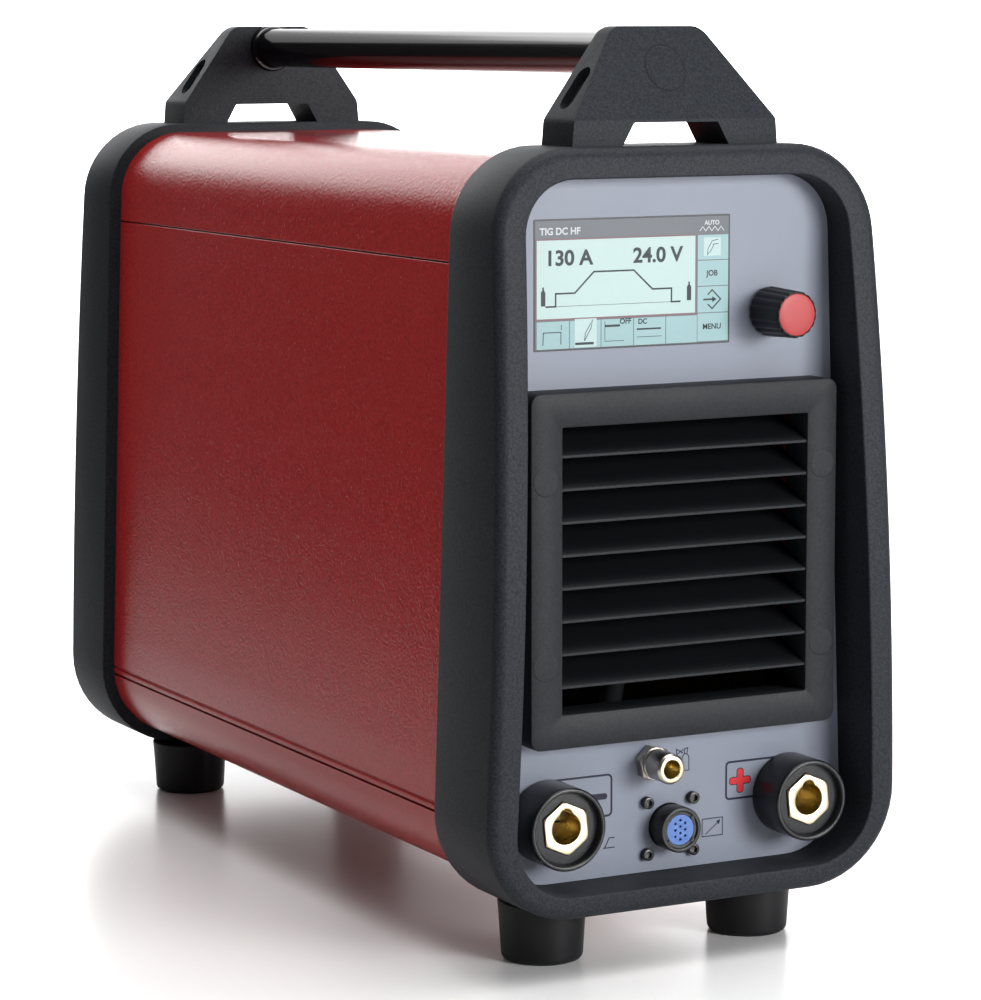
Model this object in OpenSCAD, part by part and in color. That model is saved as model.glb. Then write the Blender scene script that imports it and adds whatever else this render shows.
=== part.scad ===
// TIG welder: an inverter power source in a case, with its handle, fittings and working insides.
// Units are millimetres. X is to the right seen from the front, Y to the back, Z up.
// The origin is on the floor, under the middle of the case.

/* [Case] */

// Whole length over both end frames
overall_length = 494.4; // [400:1:600]

// Depth of the front frame at its foremost point
front_depth = 54.3; // [30:0.1:80]

// Depth of the rear frame at its rearmost point
rear_depth = 49.0; // [30:0.1:80]

// Half width of an end frame, carried down to the floor
frame_half_width = 105.9; // [80:0.1:140]

// How far each side leans in for each millimetre up
side_lean = 0.0333; // [0:0.0001:0.1]

// Underside of the end frames
frame_bottom = 27; // [15:1:60]

// Top of the end frames
frame_top = 359; // [250:1:450]

// Bow radius of the front face in side view
front_bow_radius = 1670; // [800:10:4000]

// Bow radius of the rear face in side view
rear_bow_radius = 2290; // [800:10:4000]

// Height of the foremost point of the bow
bow_height = 133; // [80:1:250]

// Step from the frame in to the red covers
cover_step = 6.4; // [2:0.1:12]

// Thickness of the sheet covers
cover_sheet = 1.5; // [0.8:0.1:3]

// Height of the seam over the bottom tray
lower_seam = 66.7; // [50:0.1:100]

// Height of the seam under the top cover
upper_seam = 308.6; // [250:0.1:340]

/* [Front panel] */

// Depth of the front panel behind the case joint
front_panel_step = 26.25; // [10:0.05:45]

// Depth of the rear panel behind the case joint
rear_panel_step = 22.7; // [10:0.1:40]

// Thickness of the front and rear panels
panel_sheet = 3; // [1:0.5:5]

// Width of the display window
display_width = 97.9; // [60:0.1:140]

// Height of the display window
display_height = 56.5; // [40:0.1:90]

// Sideways place of the display centre
display_x = -19.25; // [-60:0.05:60]

// Height of the display centre
display_z = 300.05; // [250:0.05:330]

// Sideways place of the control knob
knob_x = 50.2; // [20:0.1:80]

// Height of the control knob
knob_z = 284.8; // [250:0.1:330]

// Radius of the control knob at its base
knob_radius = 11.15; // [7:0.05:20]

// How far the knob can be pressed
knob_press_travel = 0.8; // [0.3:0.1:2]

/* [Grilles] */

// Side of a square louvre plate
grille_side = 154.5; // [100:0.5:170]

// Height of the middle of the louvre plates
grille_z = 178; // [140:0.5:220]

// How far a louvre plate stands off its panel
grille_proud = 14.5; // [5:0.5:20]

// Width of the louvred opening
grille_open = 123.8; // [80:0.2:140]

// Height between two slats
slat_pitch = 14.3; // [8:0.1:25]

// Thickness of a slat
slat_sheet = 1.7; // [1:0.1:4]

/* [Sockets and fittings] */

// Sideways place of the welding sockets
socket_x = 62; // [50:0.5:75]

// Height of the welding sockets
socket_z = 66.5; // [55:0.5:90]

// Outer radius of a socket
socket_radius = 18.4; // [14:0.1:24]

// How far a socket stands off the panel
socket_proud = 20.8; // [10:0.1:30]

// Radius of the plug bore in a socket
plug_bore_radius = 6.6; // [4:0.05:9]

// Sideways place of the gas outlet
gas_x = -9.5; // [-30:0.5:30]

// Height of the gas outlet
gas_z = 87.5; // [75:0.5:95]

// Height of the remote connector
remote_z = 57.8; // [48:0.1:70]

// Outer radius of the remote connector
remote_radius = 10.25; // [7:0.05:15]

/* [Handle] */

// Top of the handle brackets and of the whole object
overall_height = 410; // [380:1:450]

// Height of the handle bar centre
bar_z = 398.6; // [375:0.1:420]

// Height of the cover plug in a handle bracket
plug_z = 392; // [375:0.1:420]

// Radius of the handle bar
bar_radius = 10; // [7:0.5:15]

/* [Feet] */

// Radius of a foot at its top
foot_radius = 20; // [12:0.5:30]

// Sideways place of the feet
foot_x = 53.4; // [35:0.1:80]

// Place of the feet along the case
foot_y = 199.5; // [150:0.5:220]

/* [Rear] */

// Sideways place of the mains switch
switch_x = -38; // [-60:1:60]

// Height of the mains switch
switch_z = 300; // [280:1:320]

// Sideways place of the mains cable gland
gland_x = -48; // [-70:1:70]

// Height of the mains cable gland
gland_z = 72; // [60:1:90]

// Sideways place of the gas inlet
inlet_x = 50; // [-70:1:70]

// Height of the gas inlet
inlet_z = 70; // [60:1:90]

/* [Hidden] */

$fn = 64;

// Which node to draw; "all" draws the whole object

// Case joints: the frames meet the covers on these two planes
body_front = -overall_length / 2 + front_depth;
body_rear = overall_length / 2 - rear_depth;
body_length = body_rear - body_front;

// Faces of the two panels
front_face = body_front - front_panel_step;
rear_face = body_rear + rear_panel_step;
front_back = front_face + panel_sheet;
rear_back = rear_face - panel_sheet;

// Frame ring: opening in front of the panel, and the ledge that the panel rests on
lean_length = sqrt(1 + side_lean * side_lean);
lean_angle = atan(side_lean);
corner_top = 39;
corner_bottom = 43;
corner_flats = 14;
opening_half = frame_half_width - 13.2;
opening_lean = 0.0368;
opening_bottom = frame_bottom + 10.8;
opening_top = frame_top - 13.4;
ledge = 6;

// Covers
cover_half = frame_half_width - cover_step;
cover_bottom = frame_bottom + 5;
cover_top = frame_top - 4.5;
cover_corner_top = 34;
cover_corner_bottom = 38;
seam_gap = 0.6;

// Handle brackets
shoulder_z = frame_top + 11;
bracket_out = 30;
bracket_in = 2.5;
bracket_top_out = 12;
bracket_half = 50.5;
bracket_top_half = 22;
plug_radius = 10;
collar_radius = 12.4;
bar_screw_z = plug_z + 5;

// Louvre plates
grille_corner = 5;
grille_bottom = grille_z - grille_side / 2;
slat_count = 8;
slat_first = grille_z - 3.5 * slat_pitch - 0.5;

// Sockets
socket_front = front_face - socket_proud;
socket_neck = 13.5;
contact_flats = 11.55;
contact_turn = 6;

// Control knob and encoder
knob_back = front_face - 1.3;
knob_front = front_face - 23.2;
knob_tip_radius = 9.9;
shaft_radius = 3;
board_front = front_back + 15.1;

// Mains switch
switch_plate = 4;
switch_gap = 0.35;

// Insides
chassis_top = frame_bottom + 15;
tunnel_half = 76;
tunnel_sheet = 1.5;
tunnel_top = 259.5;
fan_front = rear_back - 25;
sink_top = 158;
board_z = 172;
valve_y = body_rear - 23;

// ---------------------------------------------------------------- helpers

// Stands a flat outline (across, up) along Y between two planes.
module along_y(y0, y1) {
  translate([0, y1, 0])
    rotate([90, 0, 0])
      linear_extrude(height = y1 - y0)
        children();
}

// Stands a side outline (along, up) across X between two planes.
module along_x(x0, x1) {
  translate([x0, 0, 0])
    rotate([90, 0, 90])
      linear_extrude(height = x1 - x0)
        children();
}

// Round bar along Y.
module rod_y(x, z, y0, y1, r) {
  translate([x, y1, z])
    rotate([90, 0, 0])
      cylinder(r = r, h = y1 - y0);
}

// Round bar along Y that tapers from r0 at y0 to r1 at y1.
module cone_y(x, z, y0, y1, r0, r1) {
  translate([x, y1, z])
    rotate([90, 0, 0])
      cylinder(r1 = r1, r2 = r0, h = y1 - y0);
}

// Hexagon bar along Y; corner is its radius to a corner.
module hex_y(x, z, y0, y1, corner, turn = 0) {
  translate([x, y1, z])
    rotate([90, 0, 0])
      rotate([0, 0, 30 + turn])
        cylinder(r = corner, h = y1 - y0, $fn = 6);
}

// Box from its two opposite corners.
module box(x0, x1, y0, y1, z0, z1) {
  translate([x0, y0, z0])
    cube([x1 - x0, y1 - y0, z1 - z0]);
}

// Round tube between two points.
module tube(a, b, r) {
  d = b - a;
  length = norm(d);
  flat = sqrt(d[0] * d[0] + d[1] * d[1]);
  translate(a)
    rotate([0, atan2(flat, d[2]), atan2(d[1], d[0])])
      cylinder(r = r, h = length);
}

// Rectangle with round corners, centred on a point.
module round_rect(cx, cz, w, h, r) {
  translate([cx, cz]) {
    square([w, h - 2 * r], center = true);
    square([w - 2 * r, h], center = true);
    for (sx = [-1, 1]) {
      for (sz = [-1, 1]) {
        translate([sx * (w / 2 - r), sz * (h / 2 - r)])
          circle(r = r);
      }
    }
  }
}

// Trapezoid that narrows upward, with round corners that run into its sides.
module leaning_outline(half, lean, z0, z1, r0, r1) {
  k = sqrt(1 + lean * lean);
  a = atan(lean);
  low = z0 + r0;
  high = z1 - r1;
  x0 = half - lean * low - r0 * k;
  x1 = half - lean * high - r1 * k;
  sx0 = x0 + r0 * cos(a);
  sz0 = low + r0 * sin(a);
  sx1 = x1 + r1 * cos(a);
  sz1 = high + r1 * sin(a);
  polygon([
    [-x0, z0], [x0, z0], [sx0, sz0], [sx1, sz1],
    [x1, z1], [-x1, z1], [-sx1, sz1], [-sx0, sz0]
  ]);
  for (s = [-1, 1]) {
    translate([s * x0, low])
      rotate(90 + s * 90)
        circle(r = r0);
    translate([s * x1, high])
      rotate(90 + s * 90)
        circle(r = r1);
  }
}

// Points of a round corner, from angle a0 to a1.
function corner(x, z, r, a0, a1) =
  [for (k = [0 : corner_flats])
    let (a = a0 + (a1 - a0) * k / corner_flats)
    [x + r * cos(a), z + r * sin(a)]];

// The same outline as leaning_outline, with each corner as a run of narrow flats.
module leaning_flats(half, lean, z0, z1, r0, r1) {
  k = sqrt(1 + lean * lean);
  a = atan(lean);
  low = z0 + r0;
  high = z1 - r1;
  x0 = half - lean * low - r0 * k;
  x1 = half - lean * high - r1 * k;
  polygon(concat(
    corner(x0, low, r0, -90, a),
    corner(x1, high, r1, a, 90),
    corner(-x1, high, r1, 90, 180 - a),
    corner(-x0, low, r0, 180 - a, 270)
  ));
}

module frame_outline() {
  leaning_flats(frame_half_width, side_lean, frame_bottom, frame_top,
    corner_bottom, corner_top);
}

module frame_opening(inset = 0) {
  leaning_flats(opening_half - inset, opening_lean, opening_bottom + inset,
    opening_top - inset, 29 - inset, 25 - inset);
}

module opening_outline(inset = 0) {
  leaning_outline(opening_half - inset, opening_lean, opening_bottom + inset,
    opening_top - inset, 29 - inset, 25 - inset);
}

module cover_outline(inset) {
  leaning_outline(cover_half - inset * lean_length, side_lean,
    cover_bottom + inset, cover_top - inset,
    cover_corner_bottom - inset, cover_corner_top - inset);
}

// ---------------------------------------------------------------- case

// The bowed face is a run of narrow flats; heights of their edges, from the bottom up.
bow_flats = 14;
bow_steps = [for (k = [0 : bow_flats])
  frame_bottom - 1 + k * (frame_top - frame_bottom + 2) / bow_flats];

// How far the bow has fallen back at height z.
function bow_depth(bow, z) = bow - sqrt(bow * bow - (z - bow_height) * (z - bow_height));

// End frame that looks toward -Y, with its joint plane at joint_y.
module end_frame(joint_y, depth, bow, step) {
  ledge_y = joint_y - step + panel_sheet;
  difference() {
    intersection() {
      along_y(joint_y - depth - 2, joint_y)
        frame_outline();
      along_x(-120, 120)
        polygon(concat(
          [[joint_y, frame_top + 1], [joint_y, frame_bottom - 1]],
          [for (z = bow_steps) [joint_y - depth + bow_depth(bow, z), z]]
        ));
    }
    along_y(joint_y - depth - 3, ledge_y)
      frame_opening();
    along_y(ledge_y - 1, joint_y + 1)
      frame_opening(ledge);
    for (s = [-1, 1]) {
      translate([s * foot_x, -foot_y, frame_bottom - 1])
        cylinder(r = 2.55, h = 10);
    }
  }
}

module front_frame() {
  color("#3b3d41")
    end_frame(body_front, front_depth, front_bow_radius, front_panel_step);
}

module rear_frame() {
  color("#3b3d41")
    mirror([0, 1, 0])
      end_frame(-body_rear, rear_depth, rear_bow_radius, rear_panel_step);
}

// Part of the sheet skin between two heights, from inset i0 to inset i1.
module skin(i0, i1, z0, z1, x0 = -120, x1 = 120) {
  intersection() {
    along_y(body_front, body_rear)
      difference() {
        cover_outline(i0);
        cover_outline(i1);
      }
    box(x0, x1, body_front, body_rear, z0, z1);
  }
}

module top_cover() {
  color("#8a2629") {
    skin(0, cover_sheet, upper_seam + seam_gap / 2, cover_top + 1);
    skin(cover_sheet, 2 * cover_sheet, upper_seam - 10, upper_seam + 8);
  }
}

module left_side_panel() {
  color("#8a2629")
    skin(0, cover_sheet, lower_seam + seam_gap / 2, upper_seam - seam_gap / 2, -120, 0);
}

module right_side_panel() {
  color("#8a2629")
    skin(0, cover_sheet, lower_seam + seam_gap / 2, upper_seam - seam_gap / 2, 0, 120);
}

module bottom_tray() {
  color("#8a2629") {
    skin(0, cover_sheet, cover_bottom - 1, lower_seam - seam_gap / 2);
    skin(cover_sheet, 2 * cover_sheet, lower_seam - 8, lower_seam + 12);
  }
}

// ---------------------------------------------------------------- feet

module foot() {
  lip = 3;
  base_radius = foot_radius - 1.9;
  difference() {
    union() {
      translate([0, 0, lip])
        cylinder(r1 = base_radius, r2 = foot_radius, h = frame_bottom - lip);
      rotate_extrude() {
        translate([base_radius - lip, lip])
          circle(r = lip);
        square([base_radius - lip, 2 * lip]);
      }
    }
    translate([0, 0, -1])
      cylinder(r = 5.5, h = 11);
    translate([0, 0, 9])
      cylinder(r = 2.6, h = 20);
  }
}

module foot_front_left() {
  color("#1c1c1d")
    translate([-foot_x, -foot_y, 0])
      foot();
}

module foot_front_right() {
  color("#1c1c1d")
    translate([foot_x, -foot_y, 0])
      foot();
}

module foot_rear_left() {
  color("#1c1c1d")
    translate([-foot_x, foot_y, 0])
      foot();
}

module foot_rear_right() {
  color("#1c1c1d")
    translate([foot_x, foot_y, 0])
      foot();
}

module foot_screws() {
  color("#b8babd")
    for (sx = [-1, 1]) {
      for (sy = [-1, 1]) {
        translate([sx * foot_x, sy * foot_y, 0]) {
          difference() {
            translate([0, 0, 6])
              cylinder(r = 4.5, h = 4);
            translate([0, 0, 5])
              cylinder(r = 2.3, h = 3, $fn = 6);
          }
          translate([0, 0, 10])
            cylinder(r = 2.5, h = 21.5);
        }
      }
    }
}

// ---------------------------------------------------------------- handle

// Solid body of a bracket over the joint plane joint_y, before it is bored.
module bracket_body(joint_y) {
  intersection() {
    along_x(-60, 60)
      polygon([
        [joint_y - bracket_out, frame_top],
        [joint_y - bracket_out, shoulder_z],
        [joint_y - bracket_top_out, overall_height],
        [joint_y - bracket_in, overall_height],
        [joint_y - bracket_in, frame_top]
      ]);
    along_y(joint_y - 60, joint_y + 10)
      polygon([
        [-bracket_half - 1, frame_top], [bracket_half + 1, frame_top],
        [bracket_half, shoulder_z], [bracket_top_half + 3, overall_height - 4],
        [bracket_top_half - 2, overall_height], [-bracket_top_half + 2, overall_height],
        [-bracket_top_half - 3, overall_height - 4], [-bracket_half, shoulder_z]
      ]);
  }
}

// Shallow oval pocket in a slanting side of a bracket.
module side_pocket(joint_y, s) {
  rise = overall_height - shoulder_z;
  run = bracket_half - bracket_top_half;
  tilt = atan(run / rise);
  translate([s * (bracket_half - run * 0.3), joint_y - 12.5, shoulder_z + rise * 0.3])
    rotate([0, -s * tilt, 0])
      translate([s * 2, 0, 0])
        rotate([90, 0, 90])
          linear_extrude(height = 8, center = true) {
            square([11, 11], center = true);
            for (t = [-1, 1]) {
              translate([0, t * 5.5])
                circle(r = 5.5);
            }
          }
}

module bracket(joint_y) {
  difference() {
    bracket_body(joint_y);
    along_y(joint_y - 60, joint_y + 10)
      polygon([
        [-26.5, frame_top - 1], [26.5, frame_top - 1],
        [21, frame_top + 9.8], [-21, frame_top + 9.8]
      ]);
    rod_y(0, bar_z, joint_y - 6.7, joint_y, bar_radius + 0.05);
    rod_y(0, bar_screw_z, joint_y - 12, joint_y, 3.2);
    rod_y(0, plug_z, joint_y - 60, joint_y - 10.2, plug_radius + 0.05);
    side_pocket(joint_y, 1);
    side_pocket(joint_y, -1);
  }
}

module handle_bracket_front() {
  color("#3b3d41")
    bracket(body_front);
}

module handle_bracket_rear() {
  color("#3b3d41")
    mirror([0, 1, 0])
      bracket(-body_rear);
}

// Ring of the bar against a bracket, cut level with the top of the bracket.
module collar(y0, y1) {
  difference() {
    rod_y(0, bar_z, y0, y1, collar_radius);
    along_y(y0 - 1, y1 + 1)
      polygon([
        [-20, overall_height], [20, overall_height],
        [20, overall_height + 9], [-20, overall_height + 9]
      ]);
  }
}

module handle_bar() {
  color("#101011")
    difference() {
      union() {
        rod_y(0, bar_z, body_front - 6.5, body_rear + 6.5, bar_radius);
        collar(body_front - bracket_in, body_front + 0.3);
        collar(body_rear - 0.3, body_rear + bracket_in);
      }
      rod_y(0, bar_screw_z, body_front - 7, body_front + 12, 3.05);
      rod_y(0, bar_screw_z, body_rear - 12, body_rear + 7, 3.05);
    }
}

module plug(joint_y) {
  intersection() {
    bracket_body(joint_y);
    rod_y(0, plug_z, joint_y - 60, joint_y - 13.2, plug_radius);
  }
}

module handle_plugs() {
  color("#2c2d30") {
    plug(body_front);
    mirror([0, 1, 0])
      plug(-body_rear);
  }
}

module bar_screw(joint_y) {
  rod_y(0, bar_screw_z, joint_y - 10.2, joint_y + 10, 3);
  difference() {
    rod_y(0, bar_screw_z, joint_y - 12.9, joint_y - 10.2, 4.8);
    hex_y(0, bar_screw_z, joint_y - 13.5, joint_y - 11.4, 2.3);
  }
}

module handle_screws() {
  color("#b8babd") {
    bar_screw(body_front);
    mirror([0, 1, 0])
      bar_screw(-body_rear);
  }
}

// ---------------------------------------------------------------- front panel

module front_panel() {
  color("#a6a9b8")
    difference() {
      along_y(front_face, front_back)
        opening_outline(0.2);
      box(display_x - display_width / 2, display_x + display_width / 2,
        front_face - 1, front_back + 1,
        display_z - display_height / 2, display_z + display_height / 2);
      rod_y(knob_x, knob_z, front_face - 1, front_back + 1, 4.55);
      box(-grille_open / 2 - 2, grille_open / 2 + 2, front_face - 1, front_back + 1,
        grille_z - grille_open / 2 - 2.5, grille_z + grille_open / 2 + 2.5);
      for (s = [-1, 1]) {
        rod_y(s * socket_x, socket_z, front_face - 1, front_back + 1, socket_neck + 0.1);
      }
      rod_y(gas_x, gas_z, front_face - 1, front_back + 1, 5.1);
      rod_y(0, remote_z, front_face - 1, front_back + 1, remote_radius + 0.1);
      for (sx = [-1, 1]) {
        for (sz = [-1, 1]) {
          rod_y(sx * 11.7, remote_z + sz * 11.7, front_face - 1, front_back + 1, 1.55);
        }
      }
    }
}

module display_glass() {
  color("#9fd0c8")
    box(display_x - display_width / 2, display_x + display_width / 2,
      front_face - 0.2, front_face + 1.8,
      display_z - display_height / 2, display_z + display_height / 2);
}

module display_module() {
  color("#26272b") {
    box(display_x - display_width / 2, display_x + display_width / 2,
      front_face + 1.8, front_back,
      display_z - display_height / 2, display_z + display_height / 2);
    box(display_x - 51, display_x + 52.7, front_back, front_back + 4.2,
      display_z - 33.5, display_z + 31.5);
  }
}

module display_board() {
  left = display_x - 51;
  color("#2f6b3d") {
    box(left, 66, board_front, board_front + 1.6, 266.5, 331.5);
    box(left + 20, left + 45, board_front + 1.6, board_front + 3.6, 285, 310);
    box(30, 40, board_front + 1.6, board_front + 10, 300, 325);
    for (x = [left + 3.5, 62]) {
      rod_y(x, 327.5, front_back + (x < 0 ? 4.2 : 0), board_front, 3);
    }
    rod_y(62, 270.5, front_back, board_front, 3);
    rod_y(left + 3.5, 270.5, front_back + 4.2, board_front, 3);
  }
}

module encoder_body() {
  color("#6d7076")
    difference() {
      union() {
        box(knob_x - 6.8, knob_x + 6.8, front_back, board_front, knob_z - 6.8, knob_z + 6.8);
        rod_y(knob_x, knob_z, front_face - 3.6, front_back, 4.5);
      }
      rod_y(knob_x, knob_z, front_face - 4, board_front + 1, shaft_radius + 0.06);
    }
}

module encoder_nut() {
  color("#c4b27a")
    difference() {
      hex_y(knob_x, knob_z, front_face - 2.2, front_face, 6.9);
      rod_y(knob_x, knob_z, front_face - 3, front_face + 1, 4.5);
    }
}

module encoder_plunger() {
  color("#d8d9db")
    rod_y(knob_x, knob_z, board_front - 5.4, board_front - 1.8, shaft_radius);
}

module encoder_shaft() {
  color("#c9cacc")
    difference() {
      rod_y(knob_x, knob_z, knob_front + 4, board_front - 5.8, shaft_radius);
      box(knob_x - 5, knob_x + 5, knob_front + 3, front_face - 8,
        knob_z + 1.6, knob_z + 5);
    }
}

module control_knob() {
  color("#141416")
    difference() {
      cone_y(knob_x, knob_z, knob_front, knob_back, knob_tip_radius, knob_radius);
      rod_y(knob_x, knob_z, front_face - 5.5, front_face, 8.4);
      difference() {
        rod_y(knob_x, knob_z, knob_front + 4, front_face, shaft_radius);
        box(knob_x - 5, knob_x + 5, knob_front + 3, front_face - 8,
          knob_z + 1.6, knob_z + 5);
      }
      rod_y(knob_x, knob_z, knob_front - 1, knob_front + 1.6, 9);
      for (k = [0 : 17]) {
        translate([knob_x, 0, knob_z])
          rotate([0, k * 20, 0])
            tube([0, knob_back - 2, knob_radius + 0.3],
              [0, knob_front - 2, knob_tip_radius + 0.3], 1);
      }
    }
}

module knob_cap() {
  color("#d76a66")
    rod_y(knob_x, knob_z, knob_front - 0.4, knob_front + 1.6, 9);
}

// ---------------------------------------------------------------- louvres

// Louvre plate on a panel that faces -Y; its slats reach back by reach.
module louvre(face_y, reach) {
  front = face_y - grille_proud;
  half = grille_open / 2;
  difference() {
    union() {
      along_y(front, face_y)
        round_rect(0, grille_z, grille_side, grille_side, grille_corner);
      box(-half - 1.9, half + 1.9, face_y - 1, face_y + panel_sheet,
        grille_z - half - 2.4, grille_z + half + 2.4);
    }
    box(-half, half, front - 1, face_y + panel_sheet + 1,
      grille_z - half - 0.4, grille_z + half + 0.4);
  }
  for (k = [0 : slat_count - 1]) {
    z = slat_first + k * slat_pitch;
    along_x(-half, half)
      polygon([
        [front + 0.8, z - slat_sheet / 2],
        [front + 0.8, z + slat_sheet / 2],
        [front + reach, z + 4.5 + slat_sheet / 2],
        [front + reach, z + 4.5 - slat_sheet / 2]
      ]);
  }
}

module front_grille() {
  color("#414347")
    louvre(front_face, 22.5);
}

module rear_grille() {
  color("#414347")
    mirror([0, 1, 0])
      louvre(-rear_face, grille_proud + 2.5);
}

// ---------------------------------------------------------------- sockets and fittings

module socket_body(x) {
  difference() {
    union() {
      rod_y(x, socket_z, socket_front, front_face, socket_radius);
      rod_y(x, socket_z, front_face, front_back + 9, socket_neck);
    }
    rod_y(x, socket_z, socket_front - 1, socket_front + 1.6, 16);
    hex_y(x, socket_z, socket_front - 1, front_face, contact_flats, contact_turn);
    rod_y(x, socket_z, front_face - 1, front_back + 10, 8);
  }
}

// Brass contact with the plug bore, its key slot and a stud at its back.
module socket_contact(x) {
  difference() {
    union() {
      hex_y(x, socket_z, socket_front + 0.9, front_face, contact_flats, contact_turn);
      rod_y(x, socket_z, front_face, front_back + 14, 8);
      rod_y(x, socket_z, front_back + 14, front_back + 34, 5);
    }
    rod_y(x, socket_z, socket_front, front_back + 8, plug_bore_radius);
    rod_y(x, socket_z + 6.3, socket_front, front_back - 4, 3);
  }
}

module negative_socket_body() {
  color("#16171a")
    socket_body(-socket_x);
}

module negative_contact() {
  color("#d9b56a")
    socket_contact(-socket_x);
}

module positive_socket_body() {
  color("#16171a")
    socket_body(socket_x);
}

module positive_contact() {
  color("#d9b56a")
    socket_contact(socket_x);
}

module socket_nuts() {
  color("#2b2c30")
    for (s = [-1, 1]) {
      difference() {
        hex_y(s * socket_x, socket_z, front_back, front_back + 6, 18.5);
        rod_y(s * socket_x, socket_z, front_back - 1, front_back + 7, socket_neck);
      }
    }
}

module gas_outlet() {
  color("#d5cfbe")
    difference() {
      union() {
        hex_y(gas_x, gas_z, front_face - 5.6, front_face, 9.8, 12);
        rod_y(gas_x, gas_z, front_face - 13, front_face - 5.6, 7);
        rod_y(gas_x, gas_z, front_face - 19, front_face - 13, 6);
        rod_y(gas_x, gas_z, front_face - 20.3, front_face - 19, 6.3);
        rod_y(gas_x, gas_z, front_face, front_back + 8, 5);
        rod_y(gas_x, gas_z, front_back, front_back + 4, 8);
        rod_y(gas_x, gas_z, front_back + 8, front_back + 20, 3.2);
      }
      rod_y(gas_x, gas_z, front_face - 21, front_face - 6, 3.9);
      rod_y(gas_x, gas_z, front_face - 7, front_back + 21, 2.2);
    }
}

module remote_shell() {
  color("#1b1c1f")
    difference() {
      union() {
        rod_y(0, remote_z, front_face - 11.3, front_face - 3.4, remote_radius);
        rod_y(0, remote_z, front_face - 4, front_back + 12, remote_radius - 0.35);
        along_y(front_back, front_back + 2.5)
          round_rect(0, remote_z, 27.4, 27.4, 2);
      }
      rod_y(0, remote_z, front_face - 12, front_face - 10.3, 8.3);
      rod_y(0, remote_z, front_face - 12, front_back + 13, 6.9);
      for (sx = [-1, 1]) {
        for (sz = [-1, 1]) {
          rod_y(sx * 11.7, remote_z + sz * 11.7, front_back - 1, front_back + 4, 1.55);
        }
      }
    }
}

// Contact carrier with its ten pin holes in three columns.
module remote_insert() {
  color("#5a86cf")
    difference() {
      rod_y(0, remote_z, front_face - 10.2, front_back + 9, 6.9);
      for (k = [-1.5, -0.5, 0.5, 1.5]) {
        rod_y(0, remote_z + k * 2.9, front_face - 11, front_face - 4, 0.75);
      }
      for (s = [-1, 1]) {
        for (k = [-1, 0, 1]) {
          rod_y(s * 2.5, remote_z + k * 2.9, front_face - 11, front_face - 4, 0.75);
        }
      }
    }
}

module remote_screws() {
  color("#17181a")
    for (sx = [-1, 1]) {
      for (sz = [-1, 1]) {
        difference() {
          rod_y(sx * 11.7, remote_z + sz * 11.7, front_face - 3, front_face, 2.75);
          hex_y(sx * 11.7, remote_z + sz * 11.7, front_face - 4, front_face - 1.4, 1.45);
        }
        rod_y(sx * 11.7, remote_z + sz * 11.7, front_face, front_back + 2.5, 1.5);
      }
    }
}

// ---------------------------------------------------------------- rear panel

module rear_panel() {
  color("#3f4145")
    difference() {
      mirror([0, 1, 0])
        along_y(-rear_face, -rear_back)
          opening_outline(0.2);
      box(-grille_open / 2 - 2, grille_open / 2 + 2, rear_back - 1, rear_face + 1,
        grille_z - grille_open / 2 - 2.5, grille_z + grille_open / 2 + 2.5);
      rod_y(switch_x, switch_z, rear_back - 1, rear_face + 1, 12.1);
      rod_y(gland_x, gland_z, rear_back - 1, rear_face + 1, 12.6);
      rod_y(inlet_x, inlet_z, rear_back - 1, rear_face + 1, 6.6);
      for (s = [-1, 1]) {
        rod_y(s * 66, 334, rear_back - 1, rear_face + 1, 1.9);
        rod_y(s * 78, 62, rear_back - 1, rear_face + 1, 1.9);
      }
    }
}

module rear_screws() {
  color("#b8babd")
    for (p = [[-66, 334], [66, 334], [-78, 62], [78, 62]]) {
      rod_y(p[0], p[1], rear_back, rear_face, 1.8);
      difference() {
        cone_y(p[0], p[1], rear_face, rear_face + 2.2, 3.6, 2.6);
        hex_y(p[0], p[1], rear_face + 0.8, rear_face + 3, 1.6);
      }
    }
}

module mains_switch_body() {
  color("#202124")
    difference() {
      union() {
        along_y(rear_face, rear_face + switch_plate)
          round_rect(switch_x, switch_z, 50, 50, 5);
        rod_y(switch_x, switch_z, rear_back, rear_face, 12);
        box(switch_x - 22, switch_x + 22, rear_back - 46, rear_back,
          switch_z - 22, switch_z + 22);
      }
      rod_y(switch_x, switch_z, rear_back - 20, rear_face + switch_plate + 1, 4.06);
    }
}

module mains_switch_knob() {
  back = rear_face + switch_plate + switch_gap;
  color("#b92b28") {
    rod_y(switch_x, switch_z, rear_back - 16, back, 4);
    cone_y(switch_x, switch_z, back, back + 5, 18.5, 17.5);
    box(switch_x - 4, switch_x + 4, back + 5, back + 14, switch_z - 16, switch_z + 16);
  }
}

module cable_gland() {
  color("#1e1f22")
    difference() {
      union() {
        rod_y(gland_x, gland_z, rear_back - 12, rear_face, 12.5);
        hex_y(gland_x, gland_z, rear_face, rear_face + 6, 17.3);
        rod_y(gland_x, gland_z, rear_face + 6, rear_face + 9, 13.5);
        hex_y(gland_x, gland_z, rear_face + 9, rear_face + 18, 16.2);
        cone_y(gland_x, gland_z, rear_face + 18, rear_face + 22, 13.6, 10.5);
        hex_y(gland_x, gland_z, rear_back - 6, rear_back, 17.3);
        rod_y(gland_x, gland_z, rear_back - 12, rear_face + 21.5, 10.4);
      }
      rod_y(gland_x, gland_z, rear_back - 13, rear_face + 23, 6.5);
    }
}

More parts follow.
